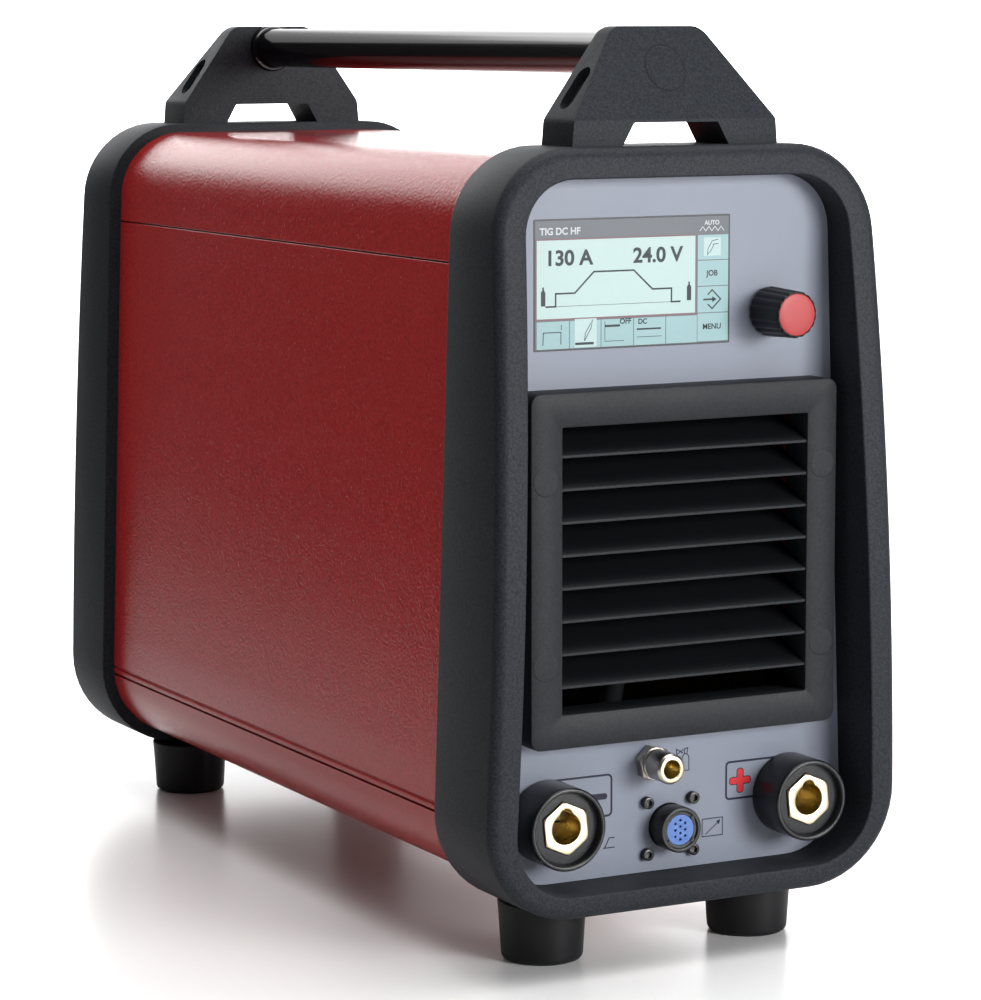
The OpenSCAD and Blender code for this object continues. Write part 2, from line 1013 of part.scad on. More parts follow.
module gas_inlet() {
  color("#c9a659")
    difference() {
      union() {
        hex_y(inlet_x, inlet_z, rear_face, rear_face + 6, 11);
        rod_y(inlet_x, inlet_z, rear_face + 6, rear_face + 20, 6.6);
        rod_y(inlet_x, inlet_z, rear_back - 6, rear_face + 1, 6.5);
        rod_y(inlet_x, inlet_z, valve_y + 15, rear_back - 5.5, 5);
        hex_y(inlet_x, inlet_z, rear_back - 5, rear_back, 11);
        rod_y(inlet_x, inlet_z, valve_y + 16, rear_face + 14, 4.8);
      }
      cone_y(inlet_x, inlet_z, rear_face + 15, rear_face + 20.1, 2.5, 5.2);
      rod_y(inlet_x, inlet_z, valve_y + 14, rear_face + 16, 2.5);
    }
}

// ---------------------------------------------------------------- insides

module chassis_plate() {
  color("#b3b6ba")
    difference() {
      box(-78, 78, body_front, body_rear, chassis_top - 2, chassis_top);
      for (s = [-1, 1]) {
        for (k = [0 : 5]) {
          translate([s * 66, body_front + 60 + k * 54, chassis_top - 3])
            cylinder(r = 3, h = 4);
        }
      }
    }
}

module wind_tunnel() {
  front = body_front + 12;
  back = body_rear - 12;
  color("#b3b6ba") {
    box(-tunnel_half, -tunnel_half + tunnel_sheet, front, back, chassis_top, tunnel_top);
    box(tunnel_half - tunnel_sheet, tunnel_half, front, back, chassis_top, tunnel_top);
    box(-tunnel_half + tunnel_sheet, tunnel_half - tunnel_sheet, front, back,
      tunnel_top - tunnel_sheet, tunnel_top);
  }
}

module fan_frame() {
  color("#232427") {
    difference() {
      along_y(fan_front, rear_back)
        round_rect(0, grille_z, 119, 119, 4);
      rod_y(0, grille_z, fan_front - 1, rear_back + 1, 57.5);
      for (sx = [-1, 1]) {
        for (sz = [-1, 1]) {
          rod_y(sx * 52.5, grille_z + sz * 52.5, fan_front - 1, rear_back + 1, 2.2);
        }
      }
    }
    difference() {
      union() {
        rod_y(0, grille_z, fan_front, fan_front + 3, 19);
        rod_y(0, grille_z, fan_front + 3, fan_front + 18, 5);
        for (a = [45, 135]) {
          translate([0, fan_front + 1.5, grille_z])
            rotate([0, a, 0])
              cube([117, 3, 6], center = true);
        }
      }
      rod_y(0, grille_z, fan_front + 1, fan_front + 19, 1.56);
    }
  }
}

module fan_rotor() {
  blades = 7;
  color("#303236") {
    difference() {
      rod_y(0, grille_z, fan_front + 3.6, fan_front + 23, 20);
      rod_y(0, grille_z, fan_front + 3, fan_front + 20, 17);
    }
    rod_y(0, grille_z, fan_front + 2, fan_front + 20, 1.5);
    for (k = [0 : blades - 1]) {
      translate([0, fan_front + 13.2, grille_z])
        rotate([0, k * 360 / blades, 0])
          translate([19.3 + 17.6, 0, 0])
            rotate([38, 0, 0])
              cube([35.2, 2, 22], center = true);
    }
  }
}

module heat_sink() {
  color("#c4c7cb") {
    box(-tunnel_half + tunnel_sheet, tunnel_half - tunnel_sheet, -70, 130,
      sink_top - 8, sink_top);
    for (k = [-6 : 6]) {
      box(k * 11 - 1.2, k * 11 + 1.2, -70, 130, sink_top - 46, sink_top - 8);
    }
  }
}

module power_modules() {
  color("#1d1e21")
    for (sx = [-1, 1]) {
      for (k = [0 : 2]) {
        box(sx * 36 - 20, sx * 36 + 20, -58 + k * 62, -10 + k * 62, sink_top, board_z);
      }
    }
}

module power_board() {
  color("#2f6b3d") {
    box(-70, 70, -70, 130, board_z, board_z + 1.6);
    box(-62, -30, 92, 122, board_z + 1.6, board_z + 30);
    box(30, 62, 92, 122, board_z + 1.6, board_z + 24);
    box(-8, 8, 88, 124, board_z + 1.6, board_z + 16);
  }
}

module bulk_capacitors() {
  color("#26436f")
    for (sx = [-1, 1]) {
      for (k = [0 : 2]) {
        translate([sx * 26, -44 + k * 42, board_z + 1.6])
          cylinder(r = 17.5, h = 55);
      }
    }
}

module control_board() {
  color("#2f6b3d") {
    for (x = [-62, 62]) {
      for (y = [-150, 52]) {
        translate([x, y, tunnel_top])
          cylinder(r = 3, h = 8);
      }
    }
    box(-68, 68, -158, 60, tunnel_top + 8, tunnel_top + 9.6);
    box(-20, 10, -60, -30, tunnel_top + 9.6, tunnel_top + 12.6);
    box(-60, -30, -140, -110, tunnel_top + 9.6, tunnel_top + 30);
    box(30, 56, -20, 40, tunnel_top + 9.6, tunnel_top + 26);
    for (k = [0 : 4]) {
      box(-62 + k * 18, -50 + k * 18, 48, 58, tunnel_top + 9.6, tunnel_top + 20);
    }
  }
}

// Frame of laminations with a middle limb; the winding sits round the limb.
module transformer_core() {
  color("#3c3d40")
    difference() {
      box(-44, 44, 20, 70, chassis_top, chassis_top + 64);
      box(-33, -14, 19, 71, chassis_top + 14, chassis_top + 50);
      box(14, 33, 19, 71, chassis_top + 14, chassis_top + 50);
    }
}

module transformer_winding() {
  color("#b8692f")
    difference() {
      box(-31, 31, 6, 84, chassis_top + 15, chassis_top + 49);
      box(-14, 14, 20, 70, chassis_top + 14, chassis_top + 50);
      box(-50, 50, 20, 70, chassis_top - 1, chassis_top + 15);
    }
}

module output_inductor() {
  color("#c0743a") {
    difference() {
      translate([0, -80, chassis_top])
        cylinder(r = 34, h = 40);
      translate([0, -80, chassis_top - 1])
        cylinder(r = 14, h = 42);
    }
    translate([0, -80, chassis_top])
      difference() {
        cylinder(r = 13.5, h = 44);
        translate([0, 0, -1])
          cylinder(r = 3, h = 46);
      }
  }
}

module ignition_unit() {
  color("#7b2f2f") {
    box(-20, 20, -172, -136, chassis_top, chassis_top + 30);
    translate([0, -154, chassis_top + 30])
      cylinder(r = 14, h = 16);
  }
}

// Flat copper from each contact stud back to the inductor and the rectifier side.
module busbars() {
  stud_back = front_back + 20;
  color("#c8763c") {
    for (s = [-1, 1]) {
      difference() {
        box(s * socket_x - 10, s * socket_x + 10, stud_back, stud_back + 3,
          socket_z - 10, socket_z + 10);
        rod_y(s * socket_x, socket_z, stud_back - 1, stud_back + 4, 5.1);
      }
      difference() {
        hex_y(s * socket_x, socket_z, stud_back + 3, stud_back + 8, 9);
        rod_y(s * socket_x, socket_z, stud_back + 2, stud_back + 9, 5.1);
      }
    }
    box(-socket_x - 10, -socket_x + 10, stud_back + 3, -46, socket_z - 13, socket_z - 10);
    box(socket_x - 10, socket_x + 10, stud_back + 3, 45, socket_z - 13, socket_z - 10);
    box(-socket_x - 10, -socket_x + 10, stud_back, stud_back + 3, socket_z - 13, socket_z - 10);
    box(socket_x - 10, socket_x + 10, stud_back, stud_back + 3, socket_z - 13, socket_z - 10);
  }
}

module valve_body() {
  color("#b99a55")
    difference() {
      union() {
        box(inlet_x - 13, inlet_x + 13, valve_y - 15, valve_y + 15, inlet_z - 12, inlet_z + 14);
        translate([inlet_x, valve_y, inlet_z + 14])
          cylinder(r = 12.5, h = 26);
        translate([inlet_x, valve_y, inlet_z + 40])
          cylinder(r = 7, h = 5);
        rod_y(inlet_x, inlet_z, valve_y - 27, valve_y - 15, 3);
      }
      translate([inlet_x, valve_y, inlet_z - 3])
        cylinder(r = 4.05, h = 44);
      rod_y(inlet_x, inlet_z - 0.5, valve_y, valve_y + 16, 2);
      rod_y(inlet_x, inlet_z - 0.5, valve_y - 28, valve_y, 2);
    }
}

module valve_plunger() {
  color("#cfd1d4")
    translate([inlet_x, valve_y, inlet_z - 2.6])
      cylinder(r = 4, h = 36);
}

// Hose in four straight runs, with a ball where two runs meet.
module gas_hose() {
  r = 5;
  a = [inlet_x, valve_y - 16, inlet_z];
  b = [inlet_x, -30, inlet_z];
  c = [gas_x + 22, -150, gas_z + 28];
  d = [gas_x, -176, gas_z];
  e = [gas_x, front_back + 9, gas_z];
  color("#31343a")
    difference() {
      union() {
        tube(a, b, r);
        tube(b, c, r);
        tube(c, d, r);
        tube(d, e, r);
        for (p = [b, c, d]) {
          translate(p)
            sphere(r = r + 0.8);
        }
      }
      rod_y(inlet_x, inlet_z, valve_y - 28, valve_y - 15, 3);
      rod_y(gas_x, gas_z, front_back + 8, front_back + 21, 3.2);
    }
}

// ---------------------------------------------------------------- nodes

front_frame();
rear_frame();
top_cover();
left_side_panel();
right_side_panel();
bottom_tray();
foot_front_left();
foot_front_right();
foot_rear_left();
foot_rear_right();
foot_screws();
handle_bracket_front();
handle_bracket_rear();
handle_bar();
handle_plugs();
handle_screws();
front_panel();
display_glass();
display_module();
display_board();
encoder_body();
encoder_nut();
encoder_plunger();
encoder_shaft();
control_knob();
knob_cap();
front_grille();
negative_socket_body();
negative_contact();
positive_socket_body();
positive_contact();
socket_nuts();
gas_outlet();
remote_shell();
remote_insert();
remote_screws();
rear_panel();
rear_grille();
rear_screws();
mains_switch_body();
mains_switch_knob();
cable_gland();
gas_inlet();
chassis_plate();
wind_tunnel();
fan_frame();
fan_rotor();
heat_sink();
power_modules();
power_board();
bulk_capacitors();
control_board();
transformer_core();
transformer_winding();
output_inductor();
ignition_unit();
busbars();
valve_body();
valve_plunger();
gas_hose();
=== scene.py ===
# TIG welder: the visible surfaces, finishes, light and camera over the CAD frame.
# Sizes in this script are millimetres; Shape.build turns them into metres.
from math import atan, cos, degrees, hypot, pi, radians, sin, sqrt, tan

import bmesh
import bpy
from mathutils import Matrix, Vector
from mathutils.geometry import tessellate_polygon


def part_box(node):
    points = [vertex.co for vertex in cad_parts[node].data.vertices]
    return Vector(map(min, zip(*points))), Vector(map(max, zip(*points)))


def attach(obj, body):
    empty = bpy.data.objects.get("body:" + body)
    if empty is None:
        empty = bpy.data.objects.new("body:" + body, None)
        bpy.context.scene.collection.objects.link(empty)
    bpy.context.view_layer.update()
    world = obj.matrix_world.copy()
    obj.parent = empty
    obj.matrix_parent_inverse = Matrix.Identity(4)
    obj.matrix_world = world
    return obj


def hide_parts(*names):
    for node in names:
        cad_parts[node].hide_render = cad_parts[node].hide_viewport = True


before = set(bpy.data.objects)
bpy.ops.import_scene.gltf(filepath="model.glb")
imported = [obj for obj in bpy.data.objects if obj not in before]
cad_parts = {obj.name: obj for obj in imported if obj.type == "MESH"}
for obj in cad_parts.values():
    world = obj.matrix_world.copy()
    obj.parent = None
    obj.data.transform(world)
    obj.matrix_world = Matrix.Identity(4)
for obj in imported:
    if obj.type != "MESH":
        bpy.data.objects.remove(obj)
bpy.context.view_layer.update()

MM = 0.001


# ---------------------------------------------------------------- sizes from the frame

def box_mm(node):
    low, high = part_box(node)
    return [c / MM for c in low], [c / MM for c in high]


def middle(node):
    low, high = box_mm(node)
    return [(a + b) / 2 for a, b in zip(low, high)]


def middle_xz(node):
    x, _, z = middle(node)
    return x, z


front_low, front_high = box_mm("front_frame")
rear_low, rear_high = box_mm("rear_frame")
panel_low, panel_high = box_mm("front_panel")
glass_low, glass_high = box_mm("display_glass")
grille_low, grille_high = box_mm("front_grille")
bar_low, bar_high = box_mm("handle_bar")
knob_low, knob_high = box_mm("control_knob")
socket_low, socket_high = box_mm("negative_socket_body")

JOINT_FRONT = front_high[1]      # plane where the front frame meets the covers
JOINT_REAR = rear_low[1]
FRAME_BOTTOM = front_low[2]
FRAME_TOP = front_high[2]
FACE = panel_low[1]              # front of the front panel
SHEET = panel_high[1] - FACE     # thickness of both panels
FACE_BACK = FACE + SHEET
BACK = box_mm("rear_panel")[1][1]
BACK_INNER = BACK - SHEET
FRONT_DEPTH = JOINT_FRONT - front_low[1]
REAR_DEPTH = rear_high[1] - JOINT_REAR

# Driving dimensions of the case; corner radii are the lower and the upper one
HALF = 105.9                     # half width of a frame, carried down to the floor
LEAN = 0.0333
FRAME_CORNERS = (43, 39)
OPENING_HALF = HALF - 13.2
OPENING_LEAN = 0.0368
OPENING_BOTTOM = FRAME_BOTTOM + 10.8
OPENING_TOP = FRAME_TOP - 13.4
OPENING_CORNERS = (29, 25)
LEDGE = 6
BOW_FRONT = 1670
BOW_REAR = 2290
BOW_HEIGHT = 133
COVER_HALF = HALF - 6.4
COVER_BOTTOM = FRAME_BOTTOM + 5
COVER_TOP = FRAME_TOP - 4.5
COVER_CORNERS = (38, 34)
COVER_SHEET = 1.5
LOWER_SEAM = 66.7
UPPER_SEAM = 308.6
SEAM_GAP = 0.6

# Handle
BAR_RADIUS = 10
COLLAR = 12.4
BAR_Z = bar_low[2] + COLLAR
PLUG_Z = middle("handle_plugs")[2]
SHOULDER = FRAME_TOP + 11
TOP = box_mm("handle_bracket_front")[1][2]
BRACKET_HALF = 50.5
BRACKET_TOP_HALF = 22.2
BRACKET_OUT = 30
BRACKET_TOP_OUT = 12
BRACKET_IN = 2.5


# ---------------------------------------------------------------- finishes

def srgb(r, g, b):
    """Linear colour of an 8-bit display colour."""
    def linear(c):
        c /= 255
        return c / 12.92 if c <= 0.04045 else ((c + 0.055) / 1.055) ** 2.4
    return (linear(r), linear(g), linear(b))


def finish(name, colour, rough, metal=0.0, grain=0.0, grain_size=1.0, spread=0.06,
           mottle=0.08, mottle_size=40.0, speckle=0.0, specular=0.5, stretch=None):
    """One procedural finish: noise varies its colour and gloss, and a fine grain raises it."""
    material = bpy.data.materials.new(name)
    material.use_nodes = True
    nodes, links = material.node_tree.nodes, material.node_tree.links
    shader = nodes["Principled BSDF"]
    shader.inputs["Metallic"].default_value = metal
    shader.inputs["Specular IOR Level"].default_value = specular
    place = nodes.new("ShaderNodeTexCoord")
    mapping = nodes.new("ShaderNodeMapping")
    mapping.inputs["Scale"].default_value = stretch or (1, 1, 1)
    links.new(place.outputs["Object"], mapping.inputs["Vector"])

    def noise(size, detail=3.0):
        made = nodes.new("ShaderNodeTexNoise")
        made.inputs["Scale"].default_value = 1 / (size * MM)
        made.inputs["Detail"].default_value = detail
        links.new(mapping.outputs["Vector"], made.inputs["Vector"])
        return made.outputs["Fac"]

    broad = noise(mottle_size)
    tint = nodes.new("ShaderNodeMix")
    tint.data_type = "RGBA"
    tint.inputs["A"].default_value = (*[c * (1 - mottle) for c in colour], 1)
    tint.inputs["B"].default_value = (*[min(1, c * (1 + mottle)) for c in colour], 1)
    links.new(broad, tint.inputs["Factor"])
    shade = nodes.new("ShaderNodeVectorMath")
    shade.operation = "SCALE"
    fine = noise(grain_size)
    dots = nodes.new("ShaderNodeMapRange")
    dots.inputs["From Min"].default_value, dots.inputs["From Max"].default_value = 0.36, 0.64
    dots.inputs["To Min"].default_value = 1 - speckle
    dots.inputs["To Max"].default_value = 1 + speckle
    links.new(fine, dots.inputs["Value"])
    links.new(tint.outputs["Result"], shade.inputs["Vector"])
    links.new(dots.outputs["Result"], shade.inputs["Scale"])
    links.new(shade.outputs["Vector"], shader.inputs["Base Color"])
    gloss = nodes.new("ShaderNodeMapRange")
    gloss.inputs["To Min"].default_value = max(0.02, rough - spread)
    gloss.inputs["To Max"].default_value = min(1, rough + spread)
    links.new(broad, gloss.inputs["Value"])
    links.new(gloss.outputs["Result"], shader.inputs["Roughness"])
    if grain:
        bump = nodes.new("ShaderNodeBump")
        bump.inputs["Strength"].default_value = 1.0
        bump.inputs["Distance"].default_value = grain * MM
        links.new(fine, bump.inputs["Height"])
        links.new(bump.outputs["Normal"], shader.inputs["Normal"])
    return material


LOOKS = {
    "case_plastic": dict(colour=(0.0158, 0.0178, 0.0218), rough=0.52, grain=0.08, grain_size=1.0,
                         speckle=0.32, specular=0.10),
    "grille_plastic": dict(colour=(0.0105, 0.0116, 0.0142), rough=0.5, grain=0.06, grain_size=1.0,
                           speckle=0.25, specular=0.15),
    # Darker copy of the grille plastic for the slats behind their front edges: painted shade between the
    # slats.
    "grille_slats": dict(colour=(0.0050, 0.0055, 0.0072), rough=0.5, grain=0.02, specular=0.22),
    # Steel darkened for the parts inside the case: painted shade.
    "inside_steel_shaded": dict(colour=(0.20, 0.20, 0.21), rough=0.45, metal=1.0),
    "red_paint": dict(colour=(0.285, 0.017, 0.017), rough=0.12, grain=0.24, grain_size=1.4, spread=0.02,
                      mottle=0.03, speckle=0.15, specular=0.20),
    "red_paint_fine": dict(colour=(0.285, 0.017, 0.017), rough=0.24, grain=0.12, grain_size=1.5,
                           spread=0.03, mottle=0.03, speckle=0.08, specular=0.22),
    "foot_rubber": dict(colour=(0.006, 0.006, 0.007), rough=0.5, grain=0.03, specular=0.2),
    "zinc_steel": dict(colour=(0.62, 0.63, 0.64), rough=0.38, metal=1.0, mottle=0.1, mottle_size=12),
    "bar_black": dict(colour=(0.004, 0.004, 0.005), rough=0.14, spread=0.02, specular=0.16),
    "panel_grey": dict(colour=srgb(113, 118, 131), rough=0.42, grain=0.01, mottle=0.02, specular=0.3),
    "rear_panel_paint": dict(colour=srgb(52, 53, 57), rough=0.5, grain=0.03, specular=0.4),
    "display_case": dict(colour=srgb(22, 25, 32), rough=0.35, specular=0.3),
    "display_header": dict(colour=srgb(74, 79, 86), rough=0.35, specular=0.3, mottle=0.02, mottle_size=30),
    "display_field": dict(colour=srgb(150, 171, 169), rough=0.3, specular=0.3, mottle=0.04, mottle_size=60),
    "display_keys": dict(colour=srgb(120, 150, 153), rough=0.3, specular=0.3, mottle=0.05, mottle_size=30),
    "display_border": dict(colour=srgb(104, 76, 82), rough=0.4, specular=0.2),
    "display_ink": dict(colour=srgb(26, 38, 42), rough=0.4, specular=0.2),
    "display_light": dict(colour=srgb(168, 174, 177), rough=0.4, specular=0.3),
    "print_navy": dict(colour=srgb(20, 22, 42), rough=0.5, specular=0.2),
    "print_red": dict(colour=srgb(176, 28, 34), rough=0.45, specular=0.3),
    "board_green": dict(colour=srgb(34, 92, 52), rough=0.45),
    "encoder_metal": dict(colour=(0.5, 0.5, 0.5), rough=0.4, metal=1.0),
    "brass": dict(colour=(0.62, 0.53, 0.36), rough=0.34, metal=1.0, grain=0.003, grain_size=0.6,
                  spread=0.08, mottle=0.05, mottle_size=5),
    "brass_bore": dict(colour=(0.40, 0.31, 0.12), rough=0.3, metal=1.0, spread=0.1, mottle=0.1,
                       mottle_size=4),
    "nickel": dict(colour=(0.46, 0.43, 0.38), rough=0.3, metal=1.0, mottle=0.06, mottle_size=6),
    "knob_black": dict(colour=(0.0055, 0.0055, 0.007), rough=0.4, grain=0.02, grain_size=0.8,
                       specular=0.25),
    "knob_red": dict(colour=srgb(148, 44, 45), rough=0.42, grain=0.01, mottle=0.04, mottle_size=10,
                     specular=0.3),
    "socket_black": dict(colour=(0.0055, 0.006, 0.0075), rough=0.28, specular=0.32, spread=0.05),
    "socket_face": dict(colour=(0.010, 0.0105, 0.012), rough=0.45, grain=0.02, specular=0.25),
    "insert_blue": dict(colour=srgb(54, 92, 156), rough=0.4, mottle=0.05, mottle_size=6),
    "screw_black": dict(colour=(0.010, 0.010, 0.012), rough=0.3, specular=0.4),
    "switch_black": dict(colour=(0.009, 0.009, 0.010), rough=0.38, grain=0.02, specular=0.32),
    "switch_red": dict(colour=srgb(170, 34, 30), rough=0.35, grain=0.01),
    "fan_black": dict(colour=(0.014, 0.014, 0.016), rough=0.45, grain=0.02),
    # Heat sink: dark anodised aluminium, made this dark partly as painted shade so the inside reads dark
    # behind the louvres.
    "sink_aluminium": dict(colour=(0.05, 0.05, 0.055), rough=0.4, metal=0.6),
    "module_black": dict(colour=(0.015, 0.015, 0.017), rough=0.5, grain=0.02),
    "capacitor_blue": dict(colour=srgb(30, 60, 108), rough=0.35),
    "core_iron": dict(colour=(0.10, 0.10, 0.11), rough=0.5, metal=0.6, grain=0.05, grain_size=0.6,
                      stretch=(1, 12, 1)),
    "copper": dict(colour=(0.80, 0.38, 0.20), rough=0.35, metal=1.0, grain=0.03),
    "ignition_red": dict(colour=srgb(120, 38, 34), rough=0.45, grain=0.02),
    "hose_black": dict(colour=(0.016, 0.017, 0.019), rough=0.5, grain=0.03),
    # Near-black filler used as painted shade in gaps and holes: seam strips, plug rings, contact holes, cable
    # bore.
    "hole_dark": dict(colour=(0.004, 0.004, 0.005), rough=0.7, specular=0.2),
}
M = {name: finish(name, **look) for name, look in LOOKS.items()}


# ---------------------------------------------------------------- shapes

def soften(path, radius, closed=True, steps=4):
    """Rounds the corners of a flat path with true arcs; radius is one number or a list."""
    n = len(path)
    radii = radius if isinstance(radius, (list, tuple)) else [radius] * n
    made = []
    for k, (p, r) in enumerate(zip(path, radii)):
        if r <= 0 or (not closed and k in (0, n - 1)):
            made.append(tuple(p))
            continue
        p = Vector(p)
        before, after = Vector(path[k - 1]) - p, Vector(path[(k + 1) % n]) - p
        half = before.angle(after) / 2
        if half < 0.02 or half > pi / 2 - 0.01:
            made.append(tuple(p))
            continue
        reach = min(r / tan(half), 0.49 * before.length, 0.49 * after.length)
        a, b, w = p + before.normalized() * reach, p + after.normalized() * reach, sin(half)
        for i in range(steps + 1):
            t = i / steps
            low, mid, high = (1 - t) ** 2, 2 * w * t * (1 - t), t * t
            q = (a * low + p * mid + b * high) / (low + mid + high)
            made.append(tuple(q))
    return made


def arc(cx, cz, r, a0, a1, n):
    return [(cx + r * cos(a0 + (a1 - a0) * k / n), cz + r * sin(a0 + (a1 - a0) * k / n))
            for k in range(n + 1)]


def circle(cx, cz, r, n=48):
    return arc(cx, cz, r, 0, 2 * pi * (n - 1) / n, n - 1)


def quarter(steps):
    """Angles of a quarter turn, from 0 on."""
    return [pi / 2 * k / steps for k in range(steps + 1)]


def upright(flat, y):
    """Flat (x, z) loop as points at one place across Y."""
    return [(x, y, z) for x, z in flat]


def rounded(cx, cz, w, h, r, n=6):
    """Round-cornered rectangle, always with 4 (n + 1) points."""
    x, z = w / 2 - r, h / 2 - r
    corners = [(x, -z, -pi / 2), (x, z, 0), (-x, z, pi / 2), (-x, -z, pi)]
    return [p for sx, sz, a in corners for p in arc(cx + sx, cz + sz, r, a, a + pi / 2, n)]


def hex_radius(angle, corner, turn=0):
    """Distance from the centre of a hexagon to its side in one direction."""
    part = (degrees(angle) - turn) % 60
    return corner * cos(radians(30)) / cos(radians(part - 30))


def leaning(half, lean, z0, z1, r0, r1, inset=0.0, n=12, sides=30):
    """Case outline that narrows upward, always with the same number of points."""
    k, a = hypot(1, lean), atan(lean)
    half, z0, z1 = half - inset * k, z0 + inset, z1 - inset
    r0, r1 = max(r0 - inset, 0.3), max(r1 - inset, 0.3)
    low, high = z0 + r0, z1 - r1
    x0, x1 = half - lean * low - r0 * k, half - lean * high - r1 * k
    lower = arc(x0, low, r0, -pi / 2, a, n)
    upper = arc(x1, high, r1, a, pi / 2, n)
    (ax, az), (bx, bz) = lower[-1], upper[0]
    side = [(ax + (bx - ax) * i / sides, az + (bz - az) * i / sides) for i in range(1, sides)]
    right = lower + side + upper
    return right + [(-x, z) for x, z in reversed(right)]


def frame_outline(inset=0.0):
    return leaning(HALF, LEAN, FRAME_BOTTOM, FRAME_TOP, *FRAME_CORNERS, inset)


def opening(inset=0.0):
    return leaning(OPENING_HALF, OPENING_LEAN, OPENING_BOTTOM, OPENING_TOP, *OPENING_CORNERS, inset)


def cover_outline(inset=0.0, n=24):
    return leaning(COVER_HALF, LEAN, COVER_BOTTOM, COVER_TOP, *COVER_CORNERS, inset, n)


class Shape:
    """Collects the faces of one piece, in millimetres."""

    def __init__(self):
        self.points, self.faces = [], []

    def add(self, points, faces, mat=0):
        base = len(self.points)
        self.points.extend(points)
        self.faces.extend((tuple(base + i for i in f), mat) for f in faces)

    def loft(self, loops, wrap=False, capped=False, mat=0):
        """Joins each loop of points to the next one."""
        n, count = len(loops[0]), len(loops)
        points = [p for loop in loops for p in loop]
        pairs = [(i, (i + 1) % count) for i in range(count if wrap else count - 1)]
        faces = [(a * n + k, a * n + (k + 1) % n, b * n + (k + 1) % n, b * n + k)
                 for a, b in pairs for k in range(n)]
        self.add(points, faces, mat)
        if capped:
            self.cap(loops[0], mat)
            self.cap(loops[-1], mat)

    def cap(self, loop, mat=0):
        self.add(list(loop), [tuple(range(len(loop)))], mat)

    def turned(self, centre, profile, n=64, mat=0, axis="y", rim=None, caps=True):
        """Ring after ring along an axis; profile holds (place, radius) pairs, rim reshapes a ring."""
        loops = []
        for place, r in profile:
            ring = []
            for k in range(n):
                a = 2 * pi * k / n
                q = rim(a, r, place) if rim else r
                u, v = q * cos(a), q * sin(a)
                if axis == "y":
                    ring.append((centre[0] + u, place, centre[1] + v))
                else:
                    ring.append((centre[0] + u, centre[1] + v, place))
            loops.append(ring)
        self.loft(loops, mat=mat)
        for ring, (place, r) in ((loops[0], profile[0]), (loops[-1], profile[-1])):
            if caps and r > 0:
                self.cap(ring, mat)

    def slab(self, outer, holes, y0, y1, mat=0):
        """Flat plate across Y with holes, from flat (x, z) loops."""
        loops = [outer, *holes]
        flat = [p for loop in loops for p in loop]
        triangles = tessellate_polygon([[Vector((x, z, 0)) for x, z in loop] for loop in loops])
        n = len(flat)
        points = [(x, y0, z) for x, z in flat] + [(x, y1, z) for x, z in flat]
        faces = [tuple(t) for t in triangles] + [tuple(i + n for i in reversed(t)) for t in triangles]
        start = 0
        for loop in loops:
            m = len(loop)
            faces += [(start + k, start + (k + 1) % m, start + (k + 1) % m + n, start + k + n)
                      for k in range(m)]
            start += m
        self.add(points, faces, mat)

    def stroke(self, path, width, y0, y1, closed=False, mat=0):
        """A printed line of one width along a flat path, with mitred corners."""
        n = len(path)
        sides = []
        for k in range(n):
            p = Vector(path[k])
            runs = []
            if closed or k > 0:
                runs.append((p - Vector(path[k - 1])).normalized())
            if closed or k < n - 1:
                runs.append((Vector(path[(k + 1) % n]) - p).normalized())
            normals = [Vector((-d.y, d.x)) for d in runs]
            m = sum(normals, Vector((0, 0))).normalized()
            reach = width / 2 / max(0.4, m.dot(normals[0]))
            sides.append((p + m * reach, p - m * reach))
        left, right = [tuple(a) for a, b in sides], [tuple(b) for a, b in sides]
        if closed:
            big, small = (left, right) if area(left) > area(right) else (right, left)
            self.slab(big, [small], y0, y1, mat)
        else:
            self.slab(left + right[::-1], [], y0, y1, mat)

    def letters(self, text, x, z, size, y0, mat=0, anchor="LEFT", width=1.0, weight=0.04):
        """Plain lettering with its baseline at z; size is the height of a capital."""
        curve = bpy.data.curves.new("letters", "FONT")
        curve.body = text
        curve.align_x = anchor
        curve.size = size / 0.7
        curve.extrude = 0.02
        curve.offset = weight * size
        holder = bpy.data.objects.new("letters", curve)
        mesh = bpy.data.meshes.new_from_object(holder)
        points = [(x + v.co.x * width, y0 - 0.02 + v.co.z, z + v.co.y) for v in mesh.vertices]
        self.add(points, [tuple(f.vertices) for f in mesh.polygons], mat)
        bpy.data.objects.remove(holder)
        bpy.data.curves.remove(curve)
        bpy.data.meshes.remove(mesh)

    def build(self):
        """The shape as a closed bmesh in metres."""
        made = bmesh.new()
        corners = [made.verts.new(Vector(p) * MM) for p in self.points]
        for face, mat in self.faces:
            try:
                made.faces.new([corners[i] for i in face]).material_index = mat
            except ValueError:
                pass
        bmesh.ops.remove_doubles(made, verts=made.verts, dist=2e-6)
        bmesh.ops.recalc_face_normals(made, faces=made.faces)
        return made


def area(loop):
    return abs(sum(a[0] * b[1] - b[0] * a[1] for a, b in zip(loop, loop[1:] + loop[:1]))) / 2


def bevel(made, width, steps=2, angle=40, keep=None):
    """Rounds the sharp edges of a bmesh; keep tells which of them."""
    edges = [e for e in made.edges if len(e.link_faces) == 2
             and e.calc_face_angle(0) > radians(angle) and (keep is None or keep(e))]
    if edges:
        bmesh.ops.bevel(made, geom=edges, offset=width * MM, segments=steps, profile=0.5,
                        affect="EDGES", clamp_overlap=True)


